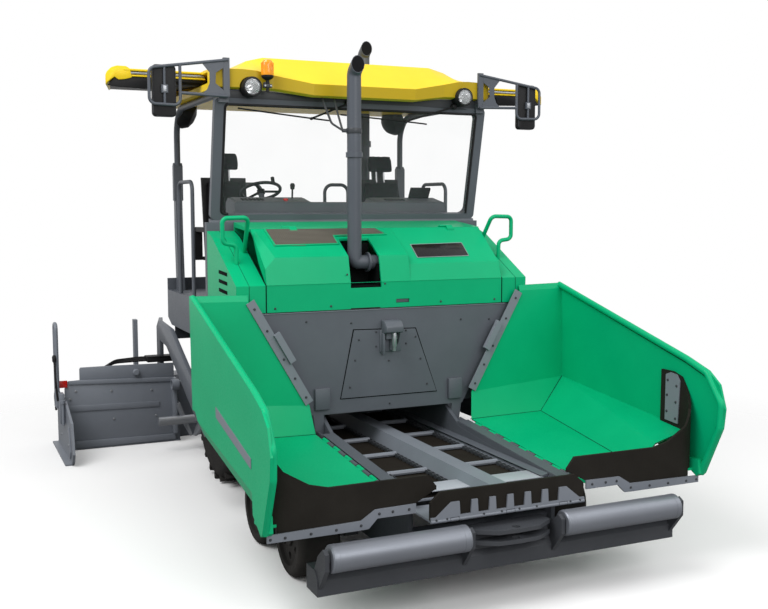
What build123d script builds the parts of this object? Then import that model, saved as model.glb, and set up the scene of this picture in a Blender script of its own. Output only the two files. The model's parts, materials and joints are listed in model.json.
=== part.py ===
from build123d import *
import os
from math import atan2, cos, degrees, radians, sin, sqrt

os.makedirs("parts", exist_ok=True)

# Asphalt paver on six wheels, hopper in front, screed behind, in millimetres
# +X is forward, +Y is the machine's left, +Z is up, z = 0 is the ground
# Stations along X are measured from a datum that origin_x moves to mid-length

# General values
seat = 0.3
run_gap = 0.3
move_gap = 6.0
plate = 20.0

# Front and rear reach
roller_x = 3000.0
roller_z = 500.0
roller_radius = 83.0
rear_reach = 3283.0
front_reach = roller_x + roller_radius
origin_x = (rear_reach - front_reach) / 2

# Small solid-rubber wheels on the rocking beams
small_radius = 280.0
small_width = 300.0
small_outer_y = 1150.0
small_rim_radius = 196.0
small_hub_radius = 62.0
small_disc = 24.0
stub_radius = 38.0
kingpin_y = 800.0
kingpin_radius = 15.0
kingpin_boss = 35.0
wheel_front_x = 1900.0
wheel_mid_x = 1150.0
beam_outer_y = 738.0
beam_width = 96.0
beam_height = 130.0
rocker_x = (wheel_front_x + wheel_mid_x) / 2
rocker_pin = 52.0

# Large driven wheels
big_radius = 680.0
big_width = 400.0
big_outer_y = 975.0
big_rim_radius = 322.0
big_rim_wall = 14.0
big_hub_radius = 150.0
big_lug_depth = 26.0
big_lugs = 22
wheel_rear_x = -690.0

# Main frame
frame_outer_y = 560.0
frame_plate = 30.0
frame_front = 2600.0
frame_rear = -1300.0
frame_low = 215.0
frame_top = 1300.0
tunnel_top = 900.0
wall_x = 1075.0
wall_flange = 60.0
frame_step_x = wall_x - wall_flange
engine_front = 1010.0
engine_top = 1900.0
swing_pin_x = 2670.0
swing_pin_radius = 30.0
swing_boss = 55.0
floor_z = 640.0
guard_rise = 28.0
cover_front = 2830.0
floor_plate = 12.0

# Hopper
hopper_half = 1632.0
wing_plate = 18.0
wing_hinge_y = 653.0
wing_hinge_rear_z = 800.0
wing_hinge_front_z = 690.0
wing_rear_x = 1236.0
wing_front_x = 2700.0

# Front flaps
flap_thick = 20.0
strip_thick = 12.0
flap_front = 2846.0
apron_half = 565.0
apron_x = 2900.0
apron_low = 610.0
apron_top = 785.0

# Bonnet
body_half = 1250.0
bonnet_front = 1098.0
bonnet_low = 1735.0
bonnet_skin = 12.0
lid_half = 1015.0
lid_gap = 8.0
lid_hinge_x = 699.0
lid_hinge_z = 2354.0
lid_pin = (694.0, 2364.0)
lid_barrel = 9.0
lid_front_z = 1940.0
lid_crest_x = 1050.0
lid_crest_z = 2145.0
lid_low_crest_z = 2075.0
lid_raised_y = 180.0
stack_y = -242.0
stack_x = 950.0
stack_elbow_z = 2090.0
stack_radius = 56.0
fume_x = -1150.0
fume_y = 700.0
fume_radius = 60.0
slot_x = 832.0
slot_y0 = -335.0
slot_y1 = -75.0
shoulder_rear = (437.0, 2281.0)

# Driver's platform
deck_front = 200.0
deck_rear = -1250.0
deck_z = 1740.0
deck_plate = 30.0

# Roof and its posts
screen_low = (256.0, 2418.0)
screen_top = (458.0, 3379.0)
screen_half = 1215.0
screen_rail = 85.0
screen_depth = 60.0
head_back = 430.0
rear_post_x = -1170.0
post_y = 1150.0
post_radius = 28.0
post_hinge_z = 2600.0
post_bend = 250.0
roof_low = 3448.0
roof_edge = 3604.0
roof_half = 1239.0
roof_rear = -1350.0
lamp_y = 950.0
lamp_z = 3462.0
lamp_radius = 70.0
lamp_arch = 79.0
lamp_back = 460.0
lamp_front = 604.0
awning_reach = 760.0
awning_thick = 36.0
awning_z = 3500.0
awning_front = 150.0
awning_rear = -1070.0

# Screed
tow_pin_x = 350.0
tow_pin_z = 750.0
arm_y = 1272.0
arm_plate = 40.0
arm_rear = -2700.0
screed_front = -2570.0
screed_depth = 430.0
screed_half = 1250.0
screed_height = 620.0
extension_front = -2380.0
extension_inner = 900.0
extension_outer = 2090.0
extension_travel = 820.0
extension_back_gap = 14.0
guide_x = -2300.0
guide_z = 640.0
guide_radius = 32.0
gate_front = -1700.0
gate_rear = -2850.0
gate_plate = 24.0

# Augers
auger_x = -1900.0
auger_z = 330.0
auger_radius = 190.0
auger_shaft = 45.0
auger_inner = 125.0
auger_outer = 1230.0
auger_pitch = 300.0


def block(x0, x1, y0, y1, z0, z1):
    return Pos((x0 + x1) / 2, (y0 + y1) / 2, (z0 + z1) / 2) * Box(abs(x1 - x0), abs(y1 - y0), abs(z1 - z0))


def bar(start, end, radius):
    a = Vector(*start)
    b = Vector(*end)
    return Plane(origin=(a + b) * 0.5, z_dir=b - a) * Cylinder(radius, (b - a).length)


def disc_y(x, z, radius, y0, y1):
    return bar((x, y0, z), (x, y1, z), radius)


def slab_y(points, y0, y1):
    face = Face(Wire.make_polygon([Vector(x, y0, z) for x, z in points], close=True))
    return Solid.extrude(face, Vector(0, y1 - y0, 0))


def slab_x(points, x0, x1):
    face = Face(Wire.make_polygon([Vector(x0, y, z) for y, z in points], close=True))
    return Solid.extrude(face, Vector(x1 - x0, 0, 0))


def slab_z(points, z0, z1):
    face = Face(Wire.make_polygon([Vector(x, y, z0) for x, y in points], close=True))
    return Solid.extrude(face, Vector(0, 0, z1 - z0))


def sheet(points, offset):
    face = Face(Wire.make_polygon([Vector(*point) for point in points], close=True))
    return Solid.extrude(face, Vector(*offset))


def plane_z(a, b, c, x, y):
    normal = (Vector(*b) - Vector(*a)).cross(Vector(*c) - Vector(*a))
    return a[2] - (normal.X * (x - a[0]) + normal.Y * (y - a[1])) / normal.Z


def tube_path(points, radius, bend):
    path = FilletPolyline(*points, radius=bend) if len(points) > 2 else Line(*points)
    return sweep(Plane(origin=path @ 0, z_dir=path % 0) * Circle(radius), path=path)


def joined(shapes):
    shapes = list(shapes)
    result = shapes[0]
    for shape in shapes[1:]:
        result = result + shape
    return result


def other_side(shape):
    return mirror(shape, Plane.XZ)


nodes = {}


def keep(name, *shapes):
    nodes[name] = [Pos(origin_x, 0, 0) * shape for shape in shapes]


def keep_pair(name, shape):
    keep(name + "_left", shape)
    keep(name + "_right", other_side(shape))


# Lifting cylinders of the screed
lift_top = (-1345.0, 640.0, 1580.0)
lift_low = (-2660.0, 640.0, 900.0)
lift_barrel = 900.0
lift_radius = 45.0
lift_rod = 25.0
lift_eye_half = 20.0
lift_pin = 20.0


def make_lift_lugs():
    x, y, z = lift_top
    outline = [(-1130, frame_top), (-1130, deck_z - deck_plate), (x, deck_z - deck_plate), (x - 45, z), (x, z - 45), (frame_rear, frame_top - 40)]
    lugs = disc_y(x, z, lift_pin, y - lift_eye_half - 15, y + lift_eye_half + 15)
    for start in (y - lift_eye_half - seat - 14, y + lift_eye_half + seat):
        lugs = lugs + slab_y(outline, start, start + 14)
    return lugs + block(-1150, -1130, frame_outer_y, y + 40, frame_top - 20, deck_z - deck_plate)


# Wing hinge line: a slope down towards the front
hinge_slope = (wing_hinge_front_z - wing_hinge_rear_z) / (wing_front_x - wing_rear_x)
hinge_pin_radius = 9.0
hinge_barrel = 17.0
hinge_pitch = 220.0
hinge_first = 1330.0
hinge_length = 100.0
hinge_count = 6
channel_rear = 1110.0


def hinge_z(x):
    return wing_hinge_rear_z + hinge_slope * (x - wing_rear_x) - wing_plate / 2


def hinge_barrels(start, length, radius):
    barrels = []
    for k in range(hinge_count):
        x = start + hinge_pitch * k
        barrels.append(bar((x, wing_hinge_y, hinge_z(x)), (x + length, wing_hinge_y, hinge_z(x + length)), radius))
    return barrels


def make_hinge_rail():
    start = hinge_first + hinge_length + 5
    rail = joined(hinge_barrels(start, hinge_length, hinge_barrel))
    for k in range(hinge_count):
        x = start + hinge_pitch * k
        z = hinge_z(x + hinge_length / 2)
        rail = rail + block(x + 5, x + hinge_length - 5, frame_outer_y - 5, wing_hinge_y, z - 14, z)
        rail = rail + slab_y([(x + 40, z - 10), (x + 60, z - 10), (x + 60, z - 90), (x + 40, z - 90)], frame_outer_y - 5, wing_hinge_y - 30)
    low = hinge_z(channel_rear)
    ring = [(632, low + 4), (632, low - 8), (535, low - 60), (535, low - 48)]
    length = frame_front - channel_rear
    rail = rail + sheet([(channel_rear, y, z) for y, z in ring], (length, 0, length * hinge_slope))
    first = hinge_first - 10
    last = start + hinge_pitch * (hinge_count - 1) + hinge_length + 10
    return rail + bar((first, wing_hinge_y, hinge_z(first)), (last, wing_hinge_y, hinge_z(last)), hinge_pin_radius)


# Main frame: two side plates, cross members, tunnel roof, tanks and rear posts
def make_chassis():
    inner_y = frame_outer_y - frame_plate
    profile = [
        (frame_front, 300), (frame_front, floor_z), (1290, 765), (frame_step_x, 900), (frame_step_x, frame_top),
        (-1150, frame_top), (frame_rear, 1120), (frame_rear, 420), (-1180, 300), (1000, frame_low), (2200, frame_low),
    ]
    side = slab_y(profile, inner_y, frame_outer_y)
    side = side - disc_y(wheel_rear_x, big_radius, 95, inner_y - 1, frame_outer_y + 1)
    hub = disc_y(wheel_rear_x, big_radius, 95, inner_y, frame_outer_y + 120)
    hub = hub + disc_y(wheel_rear_x, big_radius, 60, frame_outer_y + 120, big_outer_y - 100 - run_gap)
    side = side + hub
    tank = block(60, frame_step_x - 5, frame_outer_y, 1180, 930, frame_top)
    tank = chamfer(tank.edges().filter_by(Axis.X), 30)
    outrigger = joined(
        block(x - plate, x, frame_outer_y, 1210, frame_top - 20, deck_z - deck_plate) for x in (160, -330, -1130)
    )
    outrigger = outrigger + block(-1150, 160, frame_outer_y, frame_outer_y + plate, frame_top - 20, deck_z - deck_plate)
    tow_tower = slab_y([(520, 930), (220, 930), (250, 640), (450, 640)], 1100, arm_y - move_gap)
    half = side + tank + outrigger + tow_tower
    half = half + make_lift_lugs() + disc_y(tow_pin_x, tow_pin_z, 40, arm_y - move_gap, arm_y + arm_plate + 20)
    # columns: front x, rear x, low z, high z
    crossings = ((2560, 2460, 300, 420), (700, 600, 240, 400), (-640, -740, 420, 560), (-1200, -1280, 320, 460))
    frame = half + other_side(half)
    for front, rear, low, high in crossings:
        frame = frame + block(rear, front, -inner_y, inner_y, low, high)
    frame = frame + disc_y(rocker_x, small_radius, rocker_pin, -(beam_outer_y - 10), beam_outer_y - 10)
    frame = frame + block(frame_rear, frame_step_x, -inner_y, inner_y, tunnel_top, tunnel_top + plate)
    frame = frame + block(frame_rear, frame_rear + plate, -inner_y, inner_y, tunnel_top, 1120)
    tongue = slab_z([(2560, -150), (2560, 150), (swing_pin_x, 50), (swing_pin_x, -50)], 330, 370)
    tongue = tongue + Pos(swing_pin_x, 0, 350) * Cylinder(swing_boss, 40)
    frame = frame + tongue + make_hinge_rail() + other_side(make_hinge_rail())
    return frame - Pos(swing_pin_x, 0, 350) * Cylinder(swing_pin_radius + run_gap, 60)


# Rocking beams with the kingpin eyes at both ends
def make_rocker():
    inner = beam_outer_y - beam_width
    z0 = small_radius - beam_height / 2
    z1 = small_radius + beam_height / 2
    ends = [(wheel_mid_x - 60, z1 - 40), (wheel_mid_x - 20, z1), (wheel_front_x + 20, z1), (wheel_front_x + 60, z1 - 40)]
    low = [(wheel_front_x + 60, z0 + 30), (rocker_x + 150, z0 - 30), (rocker_x - 150, z0 - 30), (wheel_mid_x - 60, z0 + 30)]
    beam = slab_y(ends + low, inner, beam_outer_y)
    for x in (wheel_front_x, wheel_mid_x):
        beam = beam + block(x - 34, x + 34, inner, kingpin_y, z0 + 30, z1 - 10)
        beam = beam + Pos(x, kingpin_y, small_radius + 10) * Cylinder(kingpin_boss, beam_height - 40)
        beam = beam - Pos(x, kingpin_y, small_radius) * Cylinder(kingpin_radius + run_gap, beam_height + 90)
    beam = beam - disc_y(rocker_x, small_radius, rocker_pin + run_gap, inner - 1, beam_outer_y + 1)
    return beam


# Steering knuckle: yoke round the eye, kingpin and stub axle
def make_knuckle(x):
    low = small_radius - beam_height / 2 + 30 - run_gap
    high = small_radius + beam_height / 2 - 10 + run_gap
    web_y = kingpin_y + kingpin_boss + 6
    lug = 24
    yoke = block(x - 36, x + 36, kingpin_y, web_y + 16, low - lug, low)
    yoke = yoke + Pos(x, kingpin_y, low - lug / 2) * Cylinder(36, lug)
    top = block(x - 36, x + 36, kingpin_y, web_y + 16, high, high + lug)
    top = top + Pos(x, kingpin_y, high + lug / 2) * Cylinder(36, lug)
    yoke = yoke + top + block(x - 36, x + 36, web_y, web_y + 16, low - lug, high + lug)
    yoke = yoke + Pos(x, kingpin_y, (low + high) / 2) * Cylinder(kingpin_radius, high - low + 2 * lug + 16)
    end_y = small_outer_y - 40
    return yoke + disc_y(x, small_radius, stub_radius, web_y, end_y) + disc_y(x, small_radius, 58, web_y, 890)


# Solid-rubber wheel with a dished disc, hand holes and hub
def make_small_wheel(x):
    inner = small_outer_y - small_width
    round_over = 46
    band = disc_y(x, small_radius, small_radius, inner, small_outer_y)
    band = fillet(band.edges().filter_by(GeomType.CIRCLE), round_over)
    band = band - disc_y(x, small_radius, small_rim_radius, inner - 1, small_outer_y + 1)
    disc_face = small_outer_y - 26
    disc = disc_y(x, small_radius, small_rim_radius, disc_face - small_disc, disc_face)
    for k in range(6):
        a = radians(60 * k + 30)
        disc = disc - disc_y(x + 135 * cos(a), small_radius + 135 * sin(a), 26, disc_face - small_disc - 1, disc_face + 1)
    hub = disc_y(x, small_radius, small_hub_radius, 895, disc_face + 16)
    hub = chamfer(hub.edges().filter_by(GeomType.CIRCLE), 6)
    wheel = band + disc + hub
    return wheel - disc_y(x, small_radius, stub_radius + run_gap, inner, small_outer_y - 40 + run_gap)


# Large tyre with rounded shoulders and chevron lugs
def make_big_tyre():
    inner = big_outer_y - big_width
    carcass_radius = big_radius - big_lug_depth
    tyre = disc_y(wheel_rear_x, big_radius, carcass_radius, inner, big_outer_y)
    tyre = fillet(tyre.edges().filter_by(GeomType.CIRCLE), 90)
    middle = (inner + big_outer_y) / 2
    reach = big_width / 2 - 18
    lug = slab_z([(-22, 0), (22, 0), (62, reach), (26, reach)], carcass_radius - 60, big_radius)
    crown = disc_y(0, 0, big_radius, -reach, reach)
    lug = lug & crown
    for k in range(big_lugs):
        turn = 360.0 * k / big_lugs
        one = Pos(wheel_rear_x, middle, big_radius) * Rot(0, turn, 0) * lug
        two = Pos(wheel_rear_x, middle, big_radius) * Rot(0, turn + 180.0 / big_lugs, 0) * other_side(lug)
        tyre = tyre + one + two
    return tyre - disc_y(wheel_rear_x, big_radius, big_rim_radius, inner - 1, big_outer_y + 1)


# Large rim: barrel, dish with slots, hub and wheel nuts' ring
def make_big_rim():
    inner = big_outer_y - big_width + 30
    outer = big_outer_y - 30
    z = big_radius
    barrel = disc_y(wheel_rear_x, z, big_rim_radius - seat, inner, outer)
    barrel = barrel - disc_y(wheel_rear_x, z, big_rim_radius - big_rim_wall, inner - 1, outer + 1)
    dish = disc_y(wheel_rear_x, z, big_rim_radius - big_rim_wall + 2, outer - 90, outer - 66)
    for k in range(8):
        a = radians(45 * k)
        dish = dish - disc_y(wheel_rear_x + 235 * cos(a), z + 235 * sin(a), 36, outer - 91, outer - 65)
    hub = disc_y(wheel_rear_x, z, big_hub_radius, outer - 150, outer - 40)
    hub = chamfer(hub.edges().filter_by(GeomType.CIRCLE), 12)
    rim = barrel + dish + hub
    return rim - disc_y(wheel_rear_x, z, 60 + run_gap, inner - 1, outer - 70)


# Running gear
keep("chassis", make_chassis())
rocker = make_rocker()
keep("rocker_beams", rocker, other_side(rocker))
for place, wheel_x in (("front", wheel_front_x), ("middle", wheel_mid_x)):
    keep_pair("knuckle_" + place, make_knuckle(wheel_x))
    keep_pair("wheel_" + place, make_small_wheel(wheel_x))
keep_pair("tyre_rear", make_big_tyre())
keep_pair("rim_rear", make_big_rim())


# Conveyor floor with its chain guards
def make_conveyor_floor():
    inner_y = frame_outer_y - frame_plate
    floor = block(frame_rear, frame_front - 20, -inner_y, inner_y, floor_z - floor_plate, floor_z)
    guard_top = floor_z + guard_rise
    guard_edge = [(inner_y, floor_z), (inner_y, guard_top), (inner_y - 26, guard_top), (inner_y - 62, floor_z)]
    guard = slab_x(guard_edge, frame_rear, frame_front - 20)
    nose = slab_x([(-105, 560), (105, 560), (105, floor_z), (-105, floor_z)], frame_front, cover_front)
    return floor + guard + other_side(guard) + nose + make_apron_sill()


# Cover over the two inner chains
def make_chain_cover():
    low = floor_z + seat
    high = floor_z + 105
    return slab_x([(-105, low), (105, low), (62, high), (-62, high)], cover_front, frame_rear)


# Two slat conveyors: bars fused to their chains
def make_conveyor_chains():
    chain_half = 15
    bar_pitch = 375
    link_pitch = 125
    lane_in = 125 + chain_half
    lane_out = frame_outer_y - frame_plate - 75 - chain_half
    low = floor_z + seat
    lanes = []
    first = frame_rear + 60
    last = frame_front - 60
    for y in (lane_in, lane_out):
        chain = block(first, last, y - 6, y + 6, low, low + 22)
        count = int((last - first) / link_pitch)
        for k in range(count + 1):
            x = first + k * link_pitch
            chain = chain + block(x - 30, x + 30, y - chain_half, y + chain_half, low, low + 30)
        lanes.append(chain)
    lane = lanes[0] + lanes[1]
    count = int((last - first) / bar_pitch)
    for k in range(count + 1):
        x = first + k * bar_pitch
        lane = lane + block(x - 20, x + 20, lane_in, lane_out, low, low + 26)
    return lane


lane_left = make_conveyor_chains()
keep("conveyor_chains", lane_left, other_side(lane_left))


# Front wall of the machine behind the hopper, with its hatch and latch
def make_front_wall():
    x = wall_x
    low = tunnel_top + plate
    wall = slab_x([(-640, low), (640, low), (1072, 1728), (-1072, 1728)], x, x + 15)
    for sign in (-1, 1):
        flange = [(sign * 640, low), (sign * 658, low), (sign * 1090, 1728), (sign * 1072, 1728)]
        wall = wall + slab_x(flange, x - wall_flange, x + 15)
        leg_in = sign * (frame_outer_y + seat)
        wall = wall + slab_x([(leg_in, 770), (sign * 628, 770), (sign * 650, low + 10), (leg_in, low + 10)], x, x + 15)
    wall = wall + block(x - wall_flange, x + 15, -649, 649, low, low + 15)
    hatch = slab_x([(-419, 1037), (415, 1037), (223, 1556), (-308, 1568)], x + 15, x + 21)
    latch = block(x + 21, x + 70, -52, 60, 1490, 1575) + bar((x + 40, 4, 1400), (x + 40, 4, 1500), 16)
    return wall + hatch + latch


keep("front_wall", make_front_wall())
keep("engine_block", block(300, engine_front, -430, 430, tunnel_top + plate, engine_top))


# Hopper wing: flat floor, slanted facets at its rear and side, back wall with a lip, side wall with a tubular rim
wing_nose_x = 3066.0
wing_taper = 0.015
wing_floor_rise = 0.041
wing_skin = (-12.0, 12.0, -14.0)
lip_step = (-14.0, 0.0, 46.0)
wing_weld = 2.0
rim_radius = 24.0


def wing_wall_y(x):
    return hopper_half - wing_plate - wing_taper * (wing_nose_x - x)


def wing_floor_z(x, y):
    return wing_hinge_rear_z + hinge_slope * (x - wing_rear_x) + wing_floor_rise * (y - wing_hinge_y)


def wing_back_x(y, z):
    return 1160 + 0.00849 * (y - 705) - 0.0356 * (z - 1017.5)


def back_point(y, z):
    return (wing_back_x(y, z), y, z)


def floor_point(x, y):
    return (x, y, wing_floor_z(x, y))


def wall_point(x, z):
    return (x, wing_wall_y(x), z)


floor_edge_y = wing_hinge_y + hinge_barrel + 6
rear_inner = floor_point(1214, floor_edge_y)
rear_outer = floor_point(1262, 1314)
front_outer = floor_point(wing_front_x, 1174)
front_inner = floor_point(wing_front_x, floor_edge_y)
back_inner = back_point(705, 1017.5)
back_outer = back_point(wing_wall_y(1165) + wing_weld, 1087)
fold_inner = back_point(1169, 1830)
fold_outer = back_point(wing_wall_y(1138) + wing_weld, 1838)
side_front = (wing_front_x, 1331.0, plane_z(back_outer, rear_outer, front_outer, wing_front_x, 1331))
shelf_front = (wing_front_x, wing_wall_y(wing_front_x) + wing_weld, 935.0)


def make_wing():
    floor = sheet([rear_inner, rear_outer, front_outer, front_inner], wing_skin)
    sections = []
    for low, high in ((rear_inner, back_inner), (rear_outer, back_outer)):
        ring = [Vector(*low), Vector(*high), Vector(*high) + Vector(*wing_skin), Vector(*low) + Vector(*wing_skin)]
        sections.append(Face(Wire.make_polygon(ring, close=True)))
    rear_facet = loft(sections, ruled=True)
    side_facet = sheet([rear_outer, back_outer, side_front, front_outer], wing_skin)
    shelf = sheet([back_outer, shelf_front, side_front], wing_skin)
    back_wall = sheet([back_inner, back_outer, fold_outer, fold_inner], wing_skin)
    lip_top = [Vector(*point) + Vector(*lip_step) for point in (fold_outer, fold_inner)]
    lip = sheet([fold_inner, fold_outer, *lip_top], wing_skin)
    wall_outline = [
        (1145, 1060), (1230, 1062), (1300, 1010), (2690, 855), (wing_front_x, 724), (2865, 640), (2890, 660),
        (3050, 1010), (wing_nose_x, 1150), (3010, 1310), (2900, 1392), (2690, 1462), (1105, 1884),
    ]
    wall = sheet([wall_point(x, z) for x, z in wall_outline], (0, wing_plate, 0))
    wall = wall + sheet(band_corners(), (0, -wing_plate, 0))
    rim_line = [(2865, 655), (3030, 1010), (3040, 1180), (2895, 1375), (2690, 1447), (1110, 1868)]
    rim = tube_path([(x, wing_wall_y(x) - 6, z) for x, z in rim_line], rim_radius, 60)
    tip = slab_y([(2865, 640), (2890, 660), (2880, 760), (2700, 742), (2700, 724)], hopper_half - 70, hopper_half - 19)
    sill_front = flap_front - flap_thick
    sill_edge = hopper_half - 14
    sill = slab_z([(2670, 1174), (2700, sill_edge), (sill_front, sill_edge), (sill_front, 668), (2670, 668)], 672, 690)
    wing = floor + rear_facet + side_facet + shelf + back_wall + lip + wall + rim + tip + sill
    for k, barrel in enumerate(hinge_barrels(hinge_first, hinge_length, hinge_barrel)):
        x = hinge_first + hinge_pitch * k
        z = hinge_z(x + hinge_length / 2)
        wing = wing + barrel + block(x, x + hinge_length, wing_hinge_y, floor_edge_y + 8, z - 8, z + 8)
    bore_ends = [(x, wing_hinge_y, hinge_z(x)) for x in (hinge_first - 40, 2760)]
    return wing - bar(*bore_ends, hinge_pin_radius + run_gap)


def band_corners():
    crease_rear = Vector(1300, wing_wall_y(1300) + wing_plate, 1010)
    crease_front = Vector(2720, wing_wall_y(2720) + wing_plate, 1010 - 155 * 1420 / 1390)
    low_front = Vector(2720, crease_front.Y - 40, 740)
    share = 0.7
    low_rear = crease_rear + (low_front - crease_front) * share + (crease_front - crease_rear) * 0.06
    return [crease_rear, crease_front, low_front, low_rear]


wing_left = make_wing()
keep_pair("wing", wing_left)


# Rubber flap across the wing's front, bent back along the side wall
flap_low = 592.0
flap_high = 1340.0
flap_bend = 150.0
flap_rear = 2440.0
flap_inner = 486.0
flap_outer = wing_wall_y(flap_rear) - seat


def make_wing_flap():
    middle_x = flap_front - flap_thick / 2
    middle_y = flap_outer - flap_thick / 2
    path = FilletPolyline((middle_x, flap_inner, 0), (middle_x, middle_y, 0), (flap_rear, middle_y, 0), radius=flap_bend)
    section = Pos((flap_low + flap_high) / 2, 0) * Rectangle(flap_high - flap_low, flap_thick)
    flap = sweep(Plane(origin=path @ 0, x_dir=(0, 0, 1), z_dir=path % 0) * section, path=path)
    side_top = [
        (2400, 1500), (2400, 1320), (2440, 1338), (2560, 1338), (2652, 1312), (2802, 1108), (2900, 1000),
        (2900, 1500),
    ]
    front_top = [
        (400, 1500), (400, 806), (488, 806), (545, 878), (1200, 876), (1320, 905), (1480, 1000), (1556, 1106),
        (1560, 1500),
    ]
    front_low = [
        (400, 500), (400, 788), (500, 779), (668, 690), (668, 650), (900, 650), (960, flap_low), (1700, flap_low),
        (1700, 500),
    ]
    under_shelf = [(2300, 500), (2300, 968), (2702, 928), (2702, 500)]
    behind_sill = block(2702, flap_front - flap_thick, 400, 1700, 500, 690)
    flap = flap - slab_y(side_top, 400, 1700) - slab_x(front_top, 2600, 2900) - slab_x(front_low, 2700, 2900)
    return flap - slab_y(under_shelf, 400, 1700) - behind_sill - wing_left


keep_pair("wing_flap", make_wing_flap())


# Steel parts bolted to the wing: front strip with its step, seal on the back wall's edge, plate on the flap's end
def make_strip():
    points = [
        (632, 652), (632, 712), (905, 708), (998, 650), (1590, 640), (1590, flap_low), (1009, flap_low),
        (950, 594), (892, 652),
    ]
    return slab_x(points, flap_front, flap_front + strip_thick)


def make_wing_seal():
    outline = [(677, 1056), (1127, 1844), (1188, 1809), (738, 1021)]
    latch = [(858, 1350), (984, 1570), (941, 1598), (815, 1378)]
    lift = Vector(seat, 0, 0)
    seal = sheet([Vector(*back_point(y, z)) + lift for y, z in outline], (10, 0, 0))
    return seal + sheet([Vector(*back_point(y, z)) + lift for y, z in latch], (34, 0, 0))


def make_flap_plate():
    outline = [(2500, 975), (2640, 965), (2652, 1280), (2620, 1322), (2550, 1330), (2500, 1310)]
    face_y = flap_outer - flap_thick - seat
    return slab_y(outline, face_y - 8, face_y)


wing_steel = [make_strip(), make_wing_seal(), make_flap_plate()]
keep("wing_strip_left", *wing_steel)
keep("wing_strip_right", *[other_side(piece) for piece in wing_steel])


# Front apron in the middle: rubber plate, comb strip and hinge tube
apron_pin_x = apron_x + flap_thick + strip_thick / 2
apron_pin_z = apron_low - 6.0
apron_tube = 11.0
apron_pin = 5.0
apron_lugs = (-400, 0, 400)
apron_lug_half = 30.0
apron_lug_gap = 3.0


def make_apron():
    corner = 70
    side_top = apron_top - 62
    points = [
        (-apron_half, apron_low), (apron_half, apron_low), (apron_half, side_top), (apron_half - corner, apron_top),
        (-(apron_half - corner), apron_top), (-apron_half, side_top),
    ]
    apron = slab_x(points, apron_x, apron_x + flap_thick)
    for y in apron_lugs:
        gap = apron_lug_half + apron_lug_gap
        apron = apron - disc_y(apron_pin_x, apron_pin_z, apron_tube + apron_lug_gap, y - gap, y + gap)
    return apron


def make_comb():
    front = apron_x + flap_thick
    low = apron_low - 16
    comb_top = apron_low + 20
    tooth_top = comb_top + 85
    comb = block(front, front + strip_thick, -apron_half, apron_half, low, comb_top)
    for k in range(5):
        y = 130 * (k - 2)
        tooth = [(y - 27, comb_top), (y + 27, comb_top), (y + 21, tooth_top), (y - 21, tooth_top)]
        comb = comb + slab_x(tooth, front, front + strip_thick)
    for sign in (-1, 1):
        tooth = [(sign * y, z) for y, z in ((362, comb_top), (530, comb_top), (425, tooth_top), (368, tooth_top))]
        comb = comb + slab_x(tooth, front, front + strip_thick)
    comb = comb + disc_y(apron_pin_x, apron_pin_z, apron_tube, -apron_half, apron_half)
    for y in apron_lugs:
        gap = apron_lug_half + apron_lug_gap
        comb = comb - block(apron_pin_x - 30, apron_pin_x + 30, y - gap, y + gap, low - 20, apron_low + 8)
    comb = comb - disc_y(apron_pin_x, apron_pin_z, apron_pin + run_gap, -apron_half - 1, apron_half + 1)
    return comb - block(apron_x, front, -apron_half - 1, apron_half + 1, apron_low - 20, apron_top)


def make_apron_sill():
    low = apron_low - 16
    sill = block(frame_front, apron_pin_x - 24, -frame_outer_y, frame_outer_y, low, low + 14)
    for y in apron_lugs:
        sill = sill + block(apron_pin_x - 30, apron_pin_x, y - apron_lug_half, y + apron_lug_half, low, low + 12)
        sill = sill + disc_y(apron_pin_x, apron_pin_z, apron_tube, y - apron_lug_half, y + apron_lug_half)
    return sill + disc_y(apron_pin_x, apron_pin_z, apron_pin, -apron_half, apron_half)


keep("conveyor_floor", make_conveyor_floor(), make_chain_cover())
keep("apron_flap", make_apron())
keep("apron_comb", make_comb())


# Push beam with roller brackets and the towing coupling
def make_push_beam():
    beam = slab_y([(2745, 252), (2930, 252), (2930, 345), (2890, 400), (2745, 400)], -1310, 1310)
    for y in (1275, 345 - 30):
        bracket = slab_y([(2860, 340), (2930, 300), (3040, 440), (3040, 540), (3000, 562), (2920, 500), (2860, 400)],
                         y, y + 28)
        beam = beam + bracket + other_side(bracket)
    for z in (430, 500):
        jaw = slab_z([(2860, -280), (2860, 280), (2960, 280), (3040, 150), (3050, 0), (3040, -150), (2960, -280)], z, z + 26)
        beam = beam + jaw
    beam = beam + block(2850, 2930, -280, 280, 390, 526)
    beam = beam - Pos(3000, 0, 480) * Cylinder(27, 300)
    for sign in (-1, 1):
        beam = beam + block(2750, 2900, sign * 250 - 40, sign * 250 + 40, 400, 460)
    for z in (330 - seat - 22, 370 + seat):
        lug = slab_z([(swing_pin_x - 45, -50), (swing_pin_x - 45, 50), (2750, 160), (2750, -160)], z, z + 22)
        beam = beam + lug
    return beam + Pos(swing_pin_x, 0, 346) * Cylinder(swing_pin_radius, 108)


def make_push_roller():
    roller = disc_y(roller_x, roller_z, roller_radius, 350, 1263)
    roller = chamfer(roller.edges().filter_by(GeomType.CIRCLE), 8)
    return roller - disc_y(roller_x, roller_z, 24, 340, 1270)


beam_bores = make_push_beam()
for sign in (-1, 1):
    beam_bores = beam_bores + disc_y(roller_x, roller_z, 24 - run_gap, sign * 343, sign * 1275)
keep("push_beam", beam_bores)
keep_pair("push_roller", make_push_roller())


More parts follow.
